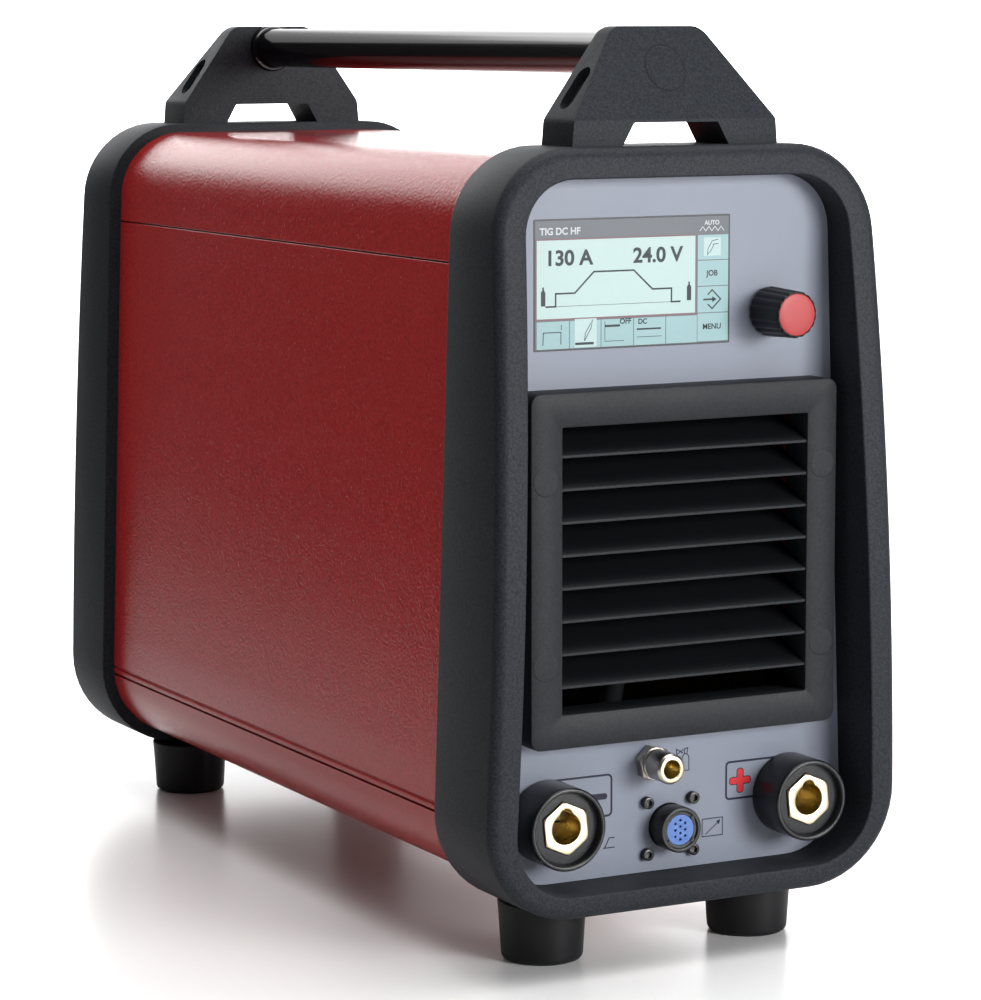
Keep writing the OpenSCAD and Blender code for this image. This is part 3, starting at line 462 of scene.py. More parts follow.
def piece(name, made, materials, stands_for=(), body="case", sharp=38):
    """Makes an object of a shape, gives it its finish and hangs it on its body."""
    if isinstance(made, Shape):
        made = made.build()
    mesh = bpy.data.meshes.new(name)
    for face in made.faces:
        face.smooth = True
    for edge in made.edges:
        edge.smooth = edge.calc_face_angle(0) < radians(sharp)
    made.to_mesh(mesh)
    made.free()
    for material in materials.split():
        mesh.materials.append(M[material])
    obj = bpy.data.objects.new(name, mesh)
    bpy.context.scene.collection.objects.link(obj)
    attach(obj, body)
    if stands_for:
        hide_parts(*stands_for.split())
    return obj


# ---------------------------------------------------------------- case

def bow(radius, z):
    """How far a bowed face has fallen back at height z."""
    return radius - sqrt(radius * radius - (z - BOW_HEIGHT) ** 2)


def end_frame(name, joint, s, depth, radius, panel_back, node):
    """Ring at one end of the case; s is -1 at the front and 1 at the rear."""
    edge, lip, heel = 5.0, 0.9, 0.8

    def bowed(flat, drop):
        """Loop at a distance behind the bowed face."""
        return [(x, joint + s * (depth - bow(radius, z) - drop), z) for x, z in flat]

    loops = [upright(opening(LEDGE), joint), upright(frame_outline(heel), joint)]
    for a in quarter(3)[1:]:
        loops.append(upright(frame_outline(heel * (1 - sin(a))), joint + s * heel * (1 - cos(a))))
    loops.append(bowed(frame_outline(), edge))
    for a in quarter(8)[1:]:
        loops.append(bowed(frame_outline(edge * (1 - cos(a))), edge * (1 - sin(a))))
    for a in quarter(4):
        loops.append(bowed(opening(-lip * (1 - sin(a))), lip * (1 - cos(a))))
    loops.append(upright(opening(), panel_back))
    loops.append(upright(opening(LEDGE), panel_back))
    shape = Shape()
    shape.loft(loops, wrap=True)
    piece(name, shape, "case_plastic", node, sharp=50)


end_frame("front_end_frame", JOINT_FRONT, -1, FRONT_DEPTH, BOW_FRONT, FACE_BACK, "front_frame")
end_frame("rear_end_frame", JOINT_REAR, 1, REAR_DEPTH, BOW_REAR, BACK_INNER, "rear_frame")


def cover_x(z, inset=0.0):
    """Half width of the cover at height z, a step inside its outer face."""
    slant = hypot(1, LEAN)
    plain = COVER_HALF - inset * slant
    for corner, edge, way in zip(COVER_CORNERS, (COVER_BOTTOM, COVER_TOP), (1, -1)):
        centre = edge + way * corner
        radius = corner - inset
        beyond = z - centre - radius * sin(atan(LEAN))
        if way * beyond < 0:
            return plain - LEAN * centre - radius * slant + sqrt(max(0, radius ** 2 - (z - centre) ** 2))
    return plain - LEAN * z


def along_case(edge):
    """True for an edge that runs from frame to frame."""
    return abs(edge.verts[0].co.y - edge.verts[1].co.y) > 0.1


def bent_sheet(name, outer, inner, material, node="", edge=0.45):
    """Sheet between the end frames from its outer and inner flat paths."""
    shape = Shape()
    shape.loft([upright(outer + inner[::-1], y) for y in (JOINT_FRONT, JOINT_REAR)])
    n = len(outer)
    for y in (JOINT_FRONT, JOINT_REAR):
        shape.add(upright(outer + inner, y), [(k, k + 1, n + k + 1, n + k) for k in range(n - 1)])
    made = shape.build()
    bevel(made, edge, 3, 60, along_case)
    piece(name, made, material, node, sharp=50)


def arch(z_cut, above, inset):
    """Part of the cover outline above or below a height, from the right side to the left."""
    path = [p for p in cover_outline(inset) if (p[1] > z_cut) == above]
    if not above:
        half = len(path) // 2
        path = path[:half][::-1] + path[half:][::-1]
    end = cover_x(z_cut, inset)
    return [(end, z_cut), *path, (-end, z_cut)]


for name, cut, above, material in (
        ("top_shell", UPPER_SEAM + SEAM_GAP / 2, True, "red_paint"),
        ("bottom_shell", LOWER_SEAM - SEAM_GAP / 2, False, "red_paint_fine")):
    bent_sheet(name, arch(cut, above, 0), arch(cut, above, COVER_SHEET), material)


def side_heights():
    """Heights and insets up a side sheet: a rolled lip, a groove, then the plain side."""
    low, high = LOWER_SEAM + SEAM_GAP / 2, UPPER_SEAM - SEAM_GAP / 2
    lip = low + 3.4
    groove = lip + 0.7
    steps = [(low, 0.75), (low + 0.25, 0.32), (low + 0.7, 0.08), (low + 1.2, 0.0),
             (lip - 1.0, 0.0), (lip - 0.4, 0.12), (lip, 0.62), (lip + 0.28, 0.75),
             (groove, 0.55), (groove + 0.35, 0.12), (groove + 0.9, 0.0)]
    start, plain = groove + 0.9, 12
    steps += [(start + (high - 1.2 - start) * k / plain, 0.0) for k in range(1, plain + 1)]
    return steps + [(high - 0.7, 0.02), (high - 0.35, 0.08), (high - 0.12, 0.2), (high, 0.4)]


for name, side in (("left", -1), ("right", 1)):
    outer = [(side * cover_x(z, inset), z) for z, inset in side_heights()]
    inner = [(side * cover_x(z, COVER_SHEET), z) for z, _ in side_heights()]
    bent_sheet(name + "_side_sheet", outer, inner, "red_paint", name + "_side_panel", 0.2)


def seam_shade_strips(name, z0, z1, node):
    """Dark strips behind a seam, both sides: painted shade that makes the seam gap read dark."""
    shape = Shape()
    heights = (z0, (z0 + z1) / 2, z1)
    for side in (-1, 1):
        outer = [(side * cover_x(z, COVER_SHEET + 0.02), z) for z in heights]
        inner = [(side * cover_x(z, 2 * COVER_SHEET), z) for z in heights]
        ends = [upright(outer + inner[::-1], y) for y in (JOINT_FRONT, JOINT_REAR)]
        shape.loft(ends, capped=True)
    piece(name, shape, "hole_dark", node)


# Painted shade: near-black strips seen through the upper and lower seam gaps.
seam_shade_strips("upper_seam_shade_strips", UPPER_SEAM - 10, UPPER_SEAM + 8, "top_cover")
seam_shade_strips("lower_seam_shade_strips", LOWER_SEAM - 8, LOWER_SEAM + 12, "bottom_tray")


# ---------------------------------------------------------------- feet

def rubber_foot(node):
    """Foot with a flared top, a rounded tread and a recess for its screw."""
    x, y, _ = middle(node)
    low, high = box_mm(node)
    wide = (high[0] - low[0]) / 2
    recess, recess_top, flare = 9, 5.5, 22
    profile = soften([(recess, 0), (recess, recess_top), (0, recess_top), (0, wide - 1.9),
                      (flare, wide - 0.5), (FRAME_BOTTOM, wide), (FRAME_BOTTOM, 0)],
                     [0, 0.3, 0.8, 2.8, 12, 0.8, 0], closed=False, steps=6)
    shape = Shape()
    shape.turned((x, y), profile, 96, axis="z")
    piece(node.replace("foot_", "rubber_foot_"), shape, "foot_rubber", node)


for node in ("foot_front_left", "foot_front_right", "foot_rear_left", "foot_rear_right"):
    rubber_foot(node)


# ---------------------------------------------------------------- handle

def bracket_mesh(joint, s):
    """Arch over a window, with a sloping front and rounded edges."""
    half, top_half = BRACKET_HALF, BRACKET_TOP_HALF
    window_half, window_top_half, window_top = 26.5, 21, FRAME_TOP + 9.8
    corners = [(-half - 0.9, FRAME_TOP), (-half, SHOULDER), (-top_half, TOP), (top_half, TOP),
               (half, SHOULDER), (half + 0.9, FRAME_TOP), (window_half, FRAME_TOP),
               (window_top_half, window_top), (-window_top_half, window_top),
               (-window_half, FRAME_TOP)]
    flat = soften(corners, [0, 6, 9, 9, 6, 0, 0, 1.2, 1.2, 0], steps=6)
    shape = Shape()
    shape.loft([upright(flat, joint + s * d) for d in (BRACKET_IN, BRACKET_OUT)], capped=True)
    made = shape.build()
    bmesh.ops.bisect_plane(
        made, geom=made.verts[:] + made.edges[:] + made.faces[:], clear_outer=True, dist=1e-6,
        plane_co=Vector((0, joint + s * BRACKET_OUT, SHOULDER)) * MM,
        plane_no=Vector((0, s * (TOP - SHOULDER), BRACKET_OUT - BRACKET_TOP_OUT)))
    bmesh.ops.holes_fill(made, edges=[e for e in made.edges if e.is_boundary], sides=0)
    bmesh.ops.recalc_face_normals(made, faces=made.faces)

    def looks_out(face):
        return face.normal.y * s > 0.6

    def crease(edge):
        return all(looks_out(f) for f in edge.link_faces)

    def outer_edge(edge):
        mid = (edge.verts[0].co + edge.verts[1].co) / 2 / MM
        in_window = abs(mid.x) < window_half + 0.5 and mid.z < window_top + 0.4
        above_foot = mid.z > FRAME_TOP + 0.2
        return any(looks_out(f) for f in edge.link_faces) and not in_window and above_foot

    def off_frame(edge):
        return edge.verts[0].co.z + edge.verts[1].co.z > 2 * (FRAME_TOP + 0.3) * MM

    bevel(made, 7.0, 6, 12, crease)
    bevel(made, 1.8, 5, 24, outer_edge)
    bevel(made, 0.7, 2, 60, off_frame)
    return made


def pocket(joint, s, side):
    """Cutter for the oval pocket in one leaning side of a bracket."""
    oval = soften([(-5.2, -11), (5.2, -11), (5.2, 11), (-5.2, 11)], 5.1, steps=8)
    shape = Shape()
    shape.loft([[(side * d, u * grow, v * grow) for u, v in oval]
                for d, grow in ((3, 1.0), (0.6, 1.0), (-3.6, 0.94))], capped=True)
    made = shape.build()
    run, rise, part_up = BRACKET_HALF - BRACKET_TOP_HALF, TOP - SHOULDER, 0.34
    centre = Vector((side * (BRACKET_HALF - run * part_up), joint + s * 13.5,
                     SHOULDER + rise * part_up)) * MM
    made.transform(Matrix.Translation(centre) @ Matrix.Rotation(-side * atan(run / rise), 4, "Y"))
    bmesh.ops.recalc_face_normals(made, faces=made.faces)
    return made


def carve(obj, cutter_shape):
    """Cuts a closed bmesh out of an object for good."""
    mesh = bpy.data.meshes.new("cutter")
    cutter_shape.to_mesh(mesh)
    cutter_shape.free()
    cutter = bpy.data.objects.new("cutter", mesh)
    bpy.context.scene.collection.objects.link(cutter)
    cut = obj.modifiers.new("cut", "BOOLEAN")
    cut.operation = "DIFFERENCE"
    cut.solver = "EXACT"
    cut.object = cutter
    bpy.context.view_layer.update()
    result = bpy.data.meshes.new_from_object(obj.evaluated_get(bpy.context.evaluated_depsgraph_get()))
    obj.modifiers.remove(cut)
    before = obj.data
    obj.data = result
    bpy.data.meshes.remove(before)
    bpy.data.objects.remove(cutter)
    bpy.data.meshes.remove(mesh)


def plug(shape, joint, s):
    """Round cover over the end screw of the bar, ringed by a thin dark band of painted shade where its gap
    would be.
    """
    slope = (BRACKET_OUT - BRACKET_TOP_OUT) / (TOP - SHOULDER)

    def on_slope(r, lift):
        return [(x, joint + s * (BRACKET_OUT - slope * (z - SHOULDER) + lift), z)
                for x, z in circle(0, PLUG_Z, r, 64)]

    shape.loft([on_slope(9.6, -1.0), on_slope(9.6, -0.05), on_slope(9.45, 0.10),
                on_slope(9.1, 0.16), on_slope(5, 0.18)], capped=True)
    # The thin ring on the slope round each plug is painted shade standing for the gap.
    shape.loft([on_slope(10.05, 0.0), on_slope(10.05, 0.04), on_slope(9.55, 0.04),
                on_slope(9.55, 0.0)], wrap=True, mat=1)


plugs = Shape()
for end, joint, s in (("front", JOINT_FRONT, -1), ("rear", JOINT_REAR, 1)):
    body = piece(end + "_handle_bracket", bracket_mesh(joint, s),
                 "case_plastic case_plastic hole_dark", "handle_bracket_" + end,
                 sharp=32)
    carve(body, pocket(joint, s, -1))
    carve(body, pocket(joint, s, 1))
    plug(plugs, joint, s)
piece("bracket_plugs", plugs, "case_plastic hole_dark", "handle_plugs")


def under_top(a, r, place):
    """Keeps the collars of the bar level with the top of the brackets."""
    return min(r, (TOP - 0.1 - BAR_Z) / sin(a)) if sin(a) > 0.3 else r


def grip_bar():
    """Round bar with a wider collar at each end."""
    seat, reach = 0.3, 2.5
    half = [(bar_low[1], 0), (bar_low[1], BAR_RADIUS), (JOINT_FRONT - reach, BAR_RADIUS),
            (JOINT_FRONT - reach, COLLAR), (JOINT_FRONT + seat, COLLAR), (JOINT_FRONT + seat, BAR_RADIUS)]
    other = [(JOINT_REAR - seat, BAR_RADIUS), (JOINT_REAR - seat, COLLAR), (JOINT_REAR + reach, COLLAR),
             (JOINT_REAR + reach, BAR_RADIUS), (bar_high[1], BAR_RADIUS), (bar_high[1], 0)]
    radii = [0, 0.6, 0.2, 0.4, 0.8, 0.8]
    bar = Shape()
    bar.turned((0, BAR_Z), soften(half + other, radii + radii[::-1], closed=False), 96, rim=under_top)
    piece("grip_bar", bar, "bar_black", "handle_bar")


grip_bar()


# ---------------------------------------------------------------- front panel and its print

GLASS_LEFT, GLASS_RIGHT = glass_low[0], glass_high[0]
GLASS_BOTTOM, GLASS_TOP = glass_low[2], glass_high[2]
GLASS = ((GLASS_LEFT + GLASS_RIGHT) / 2, (GLASS_BOTTOM + GLASS_TOP) / 2,
         GLASS_RIGHT - GLASS_LEFT, GLASS_TOP - GLASS_BOTTOM)     # middle, width and height
GRILLE_OPEN = 123.8
grille_hole = rounded(0, (grille_low[2] + grille_high[2]) / 2, GRILLE_OPEN + 4, GRILLE_OPEN + 5, 1)
KNOB = middle_xz("control_knob")
SOCKET_X = abs(middle("negative_socket_body")[0])
SOCKET_Z = (socket_low[2] + socket_high[2]) / 2
GAS = middle_xz("gas_outlet")
REMOTE = (0.0, middle("remote_shell")[2])

fascia = Shape()
display_hole = rounded(*GLASS[:2], GLASS[2] + 0.1, GLASS[3] + 0.1, 0.4)
round_holes = [circle(-SOCKET_X, SOCKET_Z, 13.6), circle(SOCKET_X, SOCKET_Z, 13.6),
               circle(*KNOB, 4.55, 24), circle(*GAS, 5.1, 24), circle(*REMOTE, 10.3)]
fascia.slab(opening(0.2), [display_hole, grille_hole, *round_holes], FACE, FACE_BACK)
piece("fascia", fascia, "panel_grey", "front_panel")

INK_FRONT = FACE - 0.06
NAVY, RED = 0, 1                 # material slots of the print
ink = Shape()


def printed(path, width, closed=False):
    ink.stroke(path, width, INK_FRONT, FACE + 0.02, closed)


def box_path(x0, x1, z0, z1):
    return [(x0, z0), (x1, z0), (x1, z1), (x0, z1)]


def cross(x, z, arm, tip):
    """Outline of a plus sign with rounded tips."""
    flat = [(-arm, -tip), (arm, -tip), (arm, -arm), (tip, -arm), (tip, arm), (arm, arm),
            (arm, tip), (-arm, tip), (-arm, arm), (-tip, arm), (-tip, -arm), (-arm, -arm)]
    return soften([(x + u, z + v) for u, v in flat], [arm * 0.8, arm * 0.8, 0] * 4)


# Boxes that run behind the sockets, a minus, and a red plus with a navy rim
printed(soften(box_path(-SOCKET_X - 4, -29.3, 65.6, 83.9), 2.0), 0.95, True)
ink.slab(soften(box_path(-40.5, -31.4, 73.0, 75.8), 1.35), [], INK_FRONT, FACE)
printed(soften(box_path(29.8, SOCKET_X + 4, 66.4, 83.2), 1.6), 0.95, True)
ink.slab(cross(37.1, 74.4, 1.85, 5.75), [], FACE - 0.04, FACE, NAVY)
ink.slab(cross(37.1, 74.4, 1.45, 5.35), [], INK_FRONT, FACE, RED)

# Torch switch sign
printed([(-27.6, 55.4), (-30.4, 55.4), (-32.6, 51.2)], 0.5)
printed([(-27.6, 51.0), (-33.4, 51.0)], 0.5)

# Gas sign: bottle, neck and valve wings, from the foot of the bottle
BOTTLE = (7.7, 81.8)
for path in ([(-4, 0), (2.6, 0), (2.6, 6.0), (1.8, 7.4), (0.4, 7.6), (-0.9, 6.4), (-0.9, 2.5)],
             [(0.4, 7.6), (0.2, 9.8), (2.0, 10.2), (1.6, 7.8)],
             [(-0.4, 9.6), (-3.8, 7.6), (-3.8, 10.0), (-0.4, 7.9)]):
    printed([(BOTTLE[0] + x, BOTTLE[1] + z) for x, z in path], 0.45)

# Remote sign: a box with a slanted arrow
printed(box_path(17.4, 28.0, 50.6, 58.6), 0.45, True)
printed([(19.2, 51.6), (26.2, 57.0)], 0.4)
ink.slab([(26.9, 57.7), (24.7, 57.1), (26.1, 55.4)], [], INK_FRONT, FACE)
piece("fascia_print", ink, "print_navy print_red")


# ---------------------------------------------------------------- display

SCREEN_FRONT = glass_low[1] + 0.02
screen = Shape()
screen.slab(rounded(*GLASS, 0.3), [], SCREEN_FRONT, FACE_BACK)
piece("display_window", screen, "display_case", "display_glass")

HEADER, FIELD, KEYS, BORDER, DARK, LIGHT = range(6)      # material slots of the picture
picture = Shape()


def layer(k):
    """Place of the k-th thin layer over the glass."""
    return glass_low[1] - 0.02 * k


def block(x0, x1, z0, z1, level, colour):
    picture.slab(box_path(x0, x1, z0, z1), [], layer(level), SCREEN_FRONT, colour)


def line(path, width, colour=DARK):
    picture.stroke(path, width, layer(4), SCREEN_FRONT, False, colour)


def flat_shape(path):
    picture.slab(path, [], layer(4), SCREEN_FRONT, DARK)


def words(text, x, z, size, colour=DARK, anchor="LEFT", width=1.0, weight=0.04):
    picture.letters(text, x, z, size, layer(4), colour, anchor, width, weight)


KEY_X = 13.2
KEY_EDGE = GLASS_RIGHT - 0.9
rows = [319.6, 308.4, 297.0, 285.3, GLASS_BOTTOM + 0.9]
columns = [GLASS_LEFT + 1.4, -50.8, -35.2, -19.0, -2.8, KEY_X]
block(GLASS_LEFT + 0.7, GLASS_RIGHT - 0.7, GLASS_BOTTOM + 0.7, GLASS_TOP - 0.7, 1, HEADER)
block(GLASS_LEFT + 0.7, KEY_X - 0.7, 284.9, 319.9, 2, BORDER)
block(GLASS_LEFT + 1.4, KEY_X - 1.2, 285.7, 319.3, 3, FIELD)
for above, below in zip(rows, rows[1:]):
    block(KEY_X + 0.1, KEY_EDGE, below + 0.25, above - 0.15, 2, KEYS)
for k, (left, right) in enumerate(zip(columns, columns[1:])):
    block(left + (0.2 if k else 0), right - 0.2, GLASS_BOTTOM + 0.9, 284.5, 2, KEYS)

# Weld current over time, between two gas bottles
BASE_Z = 290.9
line([(-62.6, BASE_Z), (-57.6, BASE_Z), (-57.6, 296.4), (-48.2, 296.4), (-38.8, 305.3),
      (-19.0, 305.3), (-9.6, 296.8), (0.0, 296.8), (0.0, BASE_Z), (4.6, BASE_Z)], 0.75)
line([(-57.6, BASE_Z), (0.0, BASE_Z)], 0.2)
for x in (-63.7, 8.9):
    half_bottle = [(1.1, 291.2), (1.1, 297.0), (0.4, 298.2), (0.4, 299.4)]
    right = [(x + u, z) for u, z in half_bottle]
    left = [(x - u, z) for u, z in half_bottle]
    flat_shape(soften([left[0], *right, *left[:0:-1]], 0.3))
words("130 A", -62.8, 308.6, 6.3, width=1.06)
words("24.0 V", -19.4, 308.6, 6.3, width=1.06)
words("TIG DC HF", -65.4, 321.7, 2.9, LIGHT)
words("AUTO", 20.4, 323.9, 1.9, LIGHT, "CENTER")
line([(14.2 + 1.55 * k, 321.2 + (1.9 if k % 2 else 0)) for k in range(9)], 0.32, LIGHT)
words("JOB", 20.6, 301.6, 2.4, DARK, "CENTER", weight=0.03)
words("MENU", 20.6, 278.2, 2.4, DARK, "CENTER", weight=0.03)

# Pictures on the right keys: torch, and go arrow
block(16.4, 25.0, 310.3, 318.3, 3, FIELD)
line([(23.6, 317.4), (20.6, 316.8), (18.4, 313.4), (18.2, 310.8), (20.0, 312.6), (21.4, 315.0)], 0.3)
line([(20.8, 315.2), (23.8, 315.6)], 0.3)
line([(16.2, 291.2), (21.4, 291.2)], 0.75)
flat_shape([(23.0, 291.2), (20.8, 292.5), (20.8, 289.9)])
line([(18.4, 293.2), (20.7, 295.3), (25.0, 291.2), (20.7, 287.1), (18.4, 289.2)], 0.6)

# Pictures on the lower keys, each from the lower left of its key
KEY_FOOT = GLASS_BOTTOM + 1.6


def key_line(column, path, width):
    line([(columns[column] + x, KEY_FOOT + z) for x, z in path], width)


key_line(0, [(3.0, 1.0), (3.2, 6.4), (11.8, 6.4), (11.8, 1.2)], 0.4)         # trigger mode
key_line(0, [(12.0, 7.4), (12.0, 9.6)], 0.3)
block(columns[1] + 2.6, columns[2] - 2.2, KEY_FOOT - 0.4, KEY_FOOT + 11.8, 3, FIELD)
key_line(1, [(2.8, 1.1), (12.0, 1.1)], 1.1)                                  # torch over work
key_line(1, [(7.4, 2.2), (7.8, 5.4), (9.6, 8.4), (11.4, 11.2), (10.6, 7.6), (8.8, 4.6), (7.4, 2.2)], 0.35)
words("OFF", columns[3] - 1.2, KEY_FOOT + 8.9, 2.3, DARK, "RIGHT")
key_line(2, [(1.9, 8.2), (9.4, 8.2)], 1.0)                                   # pulse off
key_line(2, [(1.9, 10.4), (1.9, 1.6), (11.4, 1.6)], 0.25)
words("DC", columns[3] + 2.2, KEY_FOOT + 8.5, 2.2)
key_line(3, [(1.6, 6.2), (13.8, 6.2)], 0.75)                                 # direct current
key_line(3, [(1.6, 2.8), (14.2, 2.8)], 0.25)
piece("display_picture", picture,
      "display_header display_field display_keys display_border display_ink display_light")


# ---------------------------------------------------------------- control knob

KNOB_BACK, KNOB_FRONT = knob_high[1], knob_low[1]
KNOB_WIDE, KNOB_NARROW = 11.15, 10.3
FLUTES = 18


def fluted(a, r, y):
    """Scalloped rim: shallow flutes that fade out at the front edge."""
    wave = 0.5 + 0.5 * cos(FLUTES * a)
    depth = 0.42 * min(1, max(0, (r - 9.25) / 0.5))
    return r - depth * wave ** 2


def knob_r(y):
    return KNOB_NARROW + (KNOB_WIDE - KNOB_NARROW) * (y - KNOB_FRONT) / (KNOB_BACK - KNOB_FRONT)


def dial():
    rim_y, rim = KNOB_FRONT + 1.1, 1.1
    profile = [(KNOB_BACK, 8.4), (KNOB_BACK, KNOB_WIDE - 0.6), (KNOB_BACK - 0.2, KNOB_WIDE - 0.15)]
    for k in range(10):
        y = KNOB_BACK - 0.6 - k * 2.1
        profile.append((y, knob_r(y)))
    for a in quarter(5):
        profile.append((rim_y - rim * sin(a), knob_r(rim_y) - (1 - cos(a))))
    profile += [(KNOB_FRONT + 0.1, 9.4), (KNOB_FRONT + 1.4, 9.35), (KNOB_FRONT + 1.4, 0)]
    knob = Shape()
    knob.turned(KNOB, profile, FLUTES * 12, rim=fluted)
    piece("dial", knob, "knob_black", "control_knob", "knob_turn", sharp=44)


def dial_cap():
    front = box_mm("knob_cap")[0][1]
    seat = KNOB_FRONT + 1.35
    crown = [(0.75, 9.3), (0.5, 9.15), (0.3, 8.6), (0.16, 6.6), (0.06, 4.2), (0.01, 2.0), (0, 0)]
    cap = Shape()
    cap.turned(KNOB, [(seat, 0), (seat, 9.25)] + [(front + y, r) for y, r in crown], 72)
    piece("dial_cap", cap, "knob_red", "knob_cap", "knob_turn")


dial()
dial_cap()


# ---------------------------------------------------------------- louvres

SLATS = 8
SLAT_PITCH = 14.3


def slat(base, reach, rise):
    """Outline of one blade that slopes up from a blunt front edge."""
    run, drop, steps = reach - 0.8, 0.4, 6
    up = [(0.8 + run * i / steps, base + 0.8 + rise * i / steps) for i in range(1, steps + 1)]
    down = [(0.8 + run * i / steps, base - 0.55 + (rise - drop) * i / steps) for i in range(steps, 0, -1)]
    return [(1.1, base - 0.55), (0.8, base - 0.35), (0.8, base + 0.6), (1.1, base + 0.85)] + up + down


def louvre(name, low, high, s, face, reach, rise, node):
    """Louvre plate with its slats; s is -1 in front and 1 at the rear."""
    z = (low[2] + high[2]) / 2
    side = high[0] - low[0]
    plate = low[1] if s < 0 else high[1]
    depth = abs(face - plate)
    w = GRILLE_OPEN
    rim = [(side, side, 5, depth), (side, side, 5, 0.8), (side - 0.5, side - 0.5, 4.75, 0.22),
           (side - 1.6, side - 1.6, 4.2, 0), (w + 0.9, w + 1.7, 1.3, 0),
           (w + 0.25, w + 1.05, 0.9, 0.18), (w, w + 0.8, 0.8, 0.6), (w, w + 0.8, 0.8, depth + SHEET),
           (w + 3.8, w + 4.8, 1.5, depth + SHEET), (w + 3.8, w + 4.8, 1.5, depth)]
    shape = Shape()
    shape.loft([upright(rounded(0, z, wide, tall, r), plate - s * d) for wide, tall, r, d in rim], wrap=True)
    if s < 0:
        mark = [(plate, 6.3), (plate + s * 0.12, 6.1), (plate + s * 0.14, 5.6)]
        for sx in (-1, 1):
            for sz in (-40, 40):
                shape.turned((sx * 69.9, z - 0.8 + sz), mark, 40)
    first = z - (SLATS - 1) / 2 * SLAT_PITCH - 0.5
    for k in range(SLATS):
        blade = slat(first + k * SLAT_PITCH, reach, rise)
        ends = [[(x, plate - s * d, h) for d, h in blade] for x in (-w / 2, w / 2)]
        shape.loft(ends, mat=1)
        # The front edge of each blade keeps the grille plastic; the rest takes the darker slat copy, painted
        # shade between the slats.
        n = len(blade)
        shape.faces[-n:] = [(face_of, 0 if i < 3 or i == n - 1 else 1)
                            for i, (face_of, _) in enumerate(shape.faces[-n:])]
        shape.cap(ends[0], 1)
        shape.cap(ends[1], 1)
    piece(name, shape, "grille_plastic grille_slats", node, sharp=35)


louvre("intake_louvre", grille_low, grille_high, -1, FACE, 22.5, 9.4, "front_grille")
louvre("outlet_louvre", *box_mm("rear_grille"), 1, BACK, 16.5, 6.5, "rear_grille")


# ---------------------------------------------------------------- welding sockets

SOCKET_FRONT = socket_low[1]
SOCKET_RADIUS = (socket_high[0] - socket_low[0]) / 2
HEX = 12.0                       # corner radius of the brass hexagon
HEX_TURN = 36                    # degrees
BORE = 6.95
TERMINAL_FRONT = SOCKET_FRONT + 2.5
AROUND = [2 * pi * k / 144 for k in range(144)]


def bore_radius(a):
    """Edge of the plug bore with its key slot at the top."""
    slot_r, up = 3.3, 5.5
    c = up * sin(a)
    reach = slot_r ** 2 - up ** 2 + c ** 2
    return max(BORE, c + sqrt(reach)) if reach > 0 and c > 0 else BORE


def socket_hex(a):
    return hex_radius(a, HEX, HEX_TURN)


def chamfered(a):
    """The hexagon with its corners cut back by the turned chamfer."""
    return min(socket_hex(a), HEX * cos(radians(30)) + 0.9)


def sleeve(name, x, z):
    """Round black body of a socket, from the nut thread to its front rim."""
    f, neck_end = SOCKET_FRONT, FACE_BACK + 9
    profile = soften([(neck_end, 8.1), (neck_end, 13.5), (FACE, 13.5), (FACE, SOCKET_RADIUS),
                      (f, SOCKET_RADIUS), (f, 16.2), (f + 3.9, 15.7), (f + 3.9, 11.7)],
                     [0, 0, 0, 0.6, 1.5, 0.9, 0.3, 0], closed=False, steps=6)
    shape = Shape()
    shape.turned((x, z), profile[:-1], 96, caps=False)
    piece(name + "_sleeve", shape, "socket_black", name + "_socket_body", sharp=30)


def socket_face(name, x, z):
    """Face inside the rim, with a hexagon hole and five short ribs."""
    f = SOCKET_FRONT

    def loop(radius, y):
        return [(x + radius(a) * cos(a), y, z + radius(a) * sin(a)) for a in AROUND]

    shape = Shape()
    shape.loft([loop(lambda a: 15.8, f + 3.9), loop(lambda a: 14.9, f + 3.8),
                loop(lambda a: hex_radius(a, HEX + 0.45, HEX_TURN), f + 3.8),
                loop(lambda a: hex_radius(a, HEX + 0.25, HEX_TURN), f + 4.0),
                loop(lambda a: hex_radius(a, HEX + 0.25, HEX_TURN), f + 8)])
    for k in range(5):
        a = radians(200 + 32 * k)
        rib_x, rib_z = x + 13.6 * cos(a), z + 13.6 * sin(a)
        rib = soften(box_path(rib_x - 0.9, rib_x + 0.9, rib_z - 0.5, rib_z + 0.5), 0.4)
        shape.slab(rib, [], f + 3.66, f + 3.82)
    piece(name + "_face", shape, "socket_face")


def terminal(name, x, z):
    """Brass hexagon with its plug bore, and the round stem behind it."""
    def loop(radius, drop):
        return [(x + radius(a) * cos(a), TERMINAL_FRONT + drop(a), z + radius(a) * sin(a)) for a in AROUND]

    bore_edge = loop(lambda a: bore_radius(a) + 0.12, lambda a: 0.14)
    shape = Shape()
    shape.loft([loop(socket_hex, lambda a: FACE - TERMINAL_FRONT),
                loop(socket_hex, lambda a: (socket_hex(a) - chamfered(a)) * 0.55 + 0.35),
                loop(lambda a: chamfered(a) - 0.1, lambda a: 0.1),
                loop(lambda a: chamfered(a) - 0.35, lambda a: 0.0),
                loop(lambda a: bore_radius(a) + 0.45, lambda a: 0.0), bore_edge])
    shape.loft([bore_edge, loop(bore_radius, lambda a: 0.5), loop(bore_radius, lambda a: 17),
                loop(lambda a: BORE, lambda a: 17.2), loop(lambda a: BORE, lambda a: 30),
                loop(lambda a: 0.0, lambda a: 30)], mat=1)
    shape.turned((x, z), [(FACE - 0.01, 7.9), (FACE + 17, 8), (FACE + 17, 5), (FACE + 37, 5),
                          (FACE + 37, 0)], 48)
    piece(name + "_terminal", shape, "brass brass_bore", name + "_contact", sharp=28)


for name, x in (("negative", -SOCKET_X), ("positive", SOCKET_X)):
    sleeve(name, x, SOCKET_Z)
    socket_face(name, x, SOCKET_Z)
    terminal(name, x, SOCKET_Z)


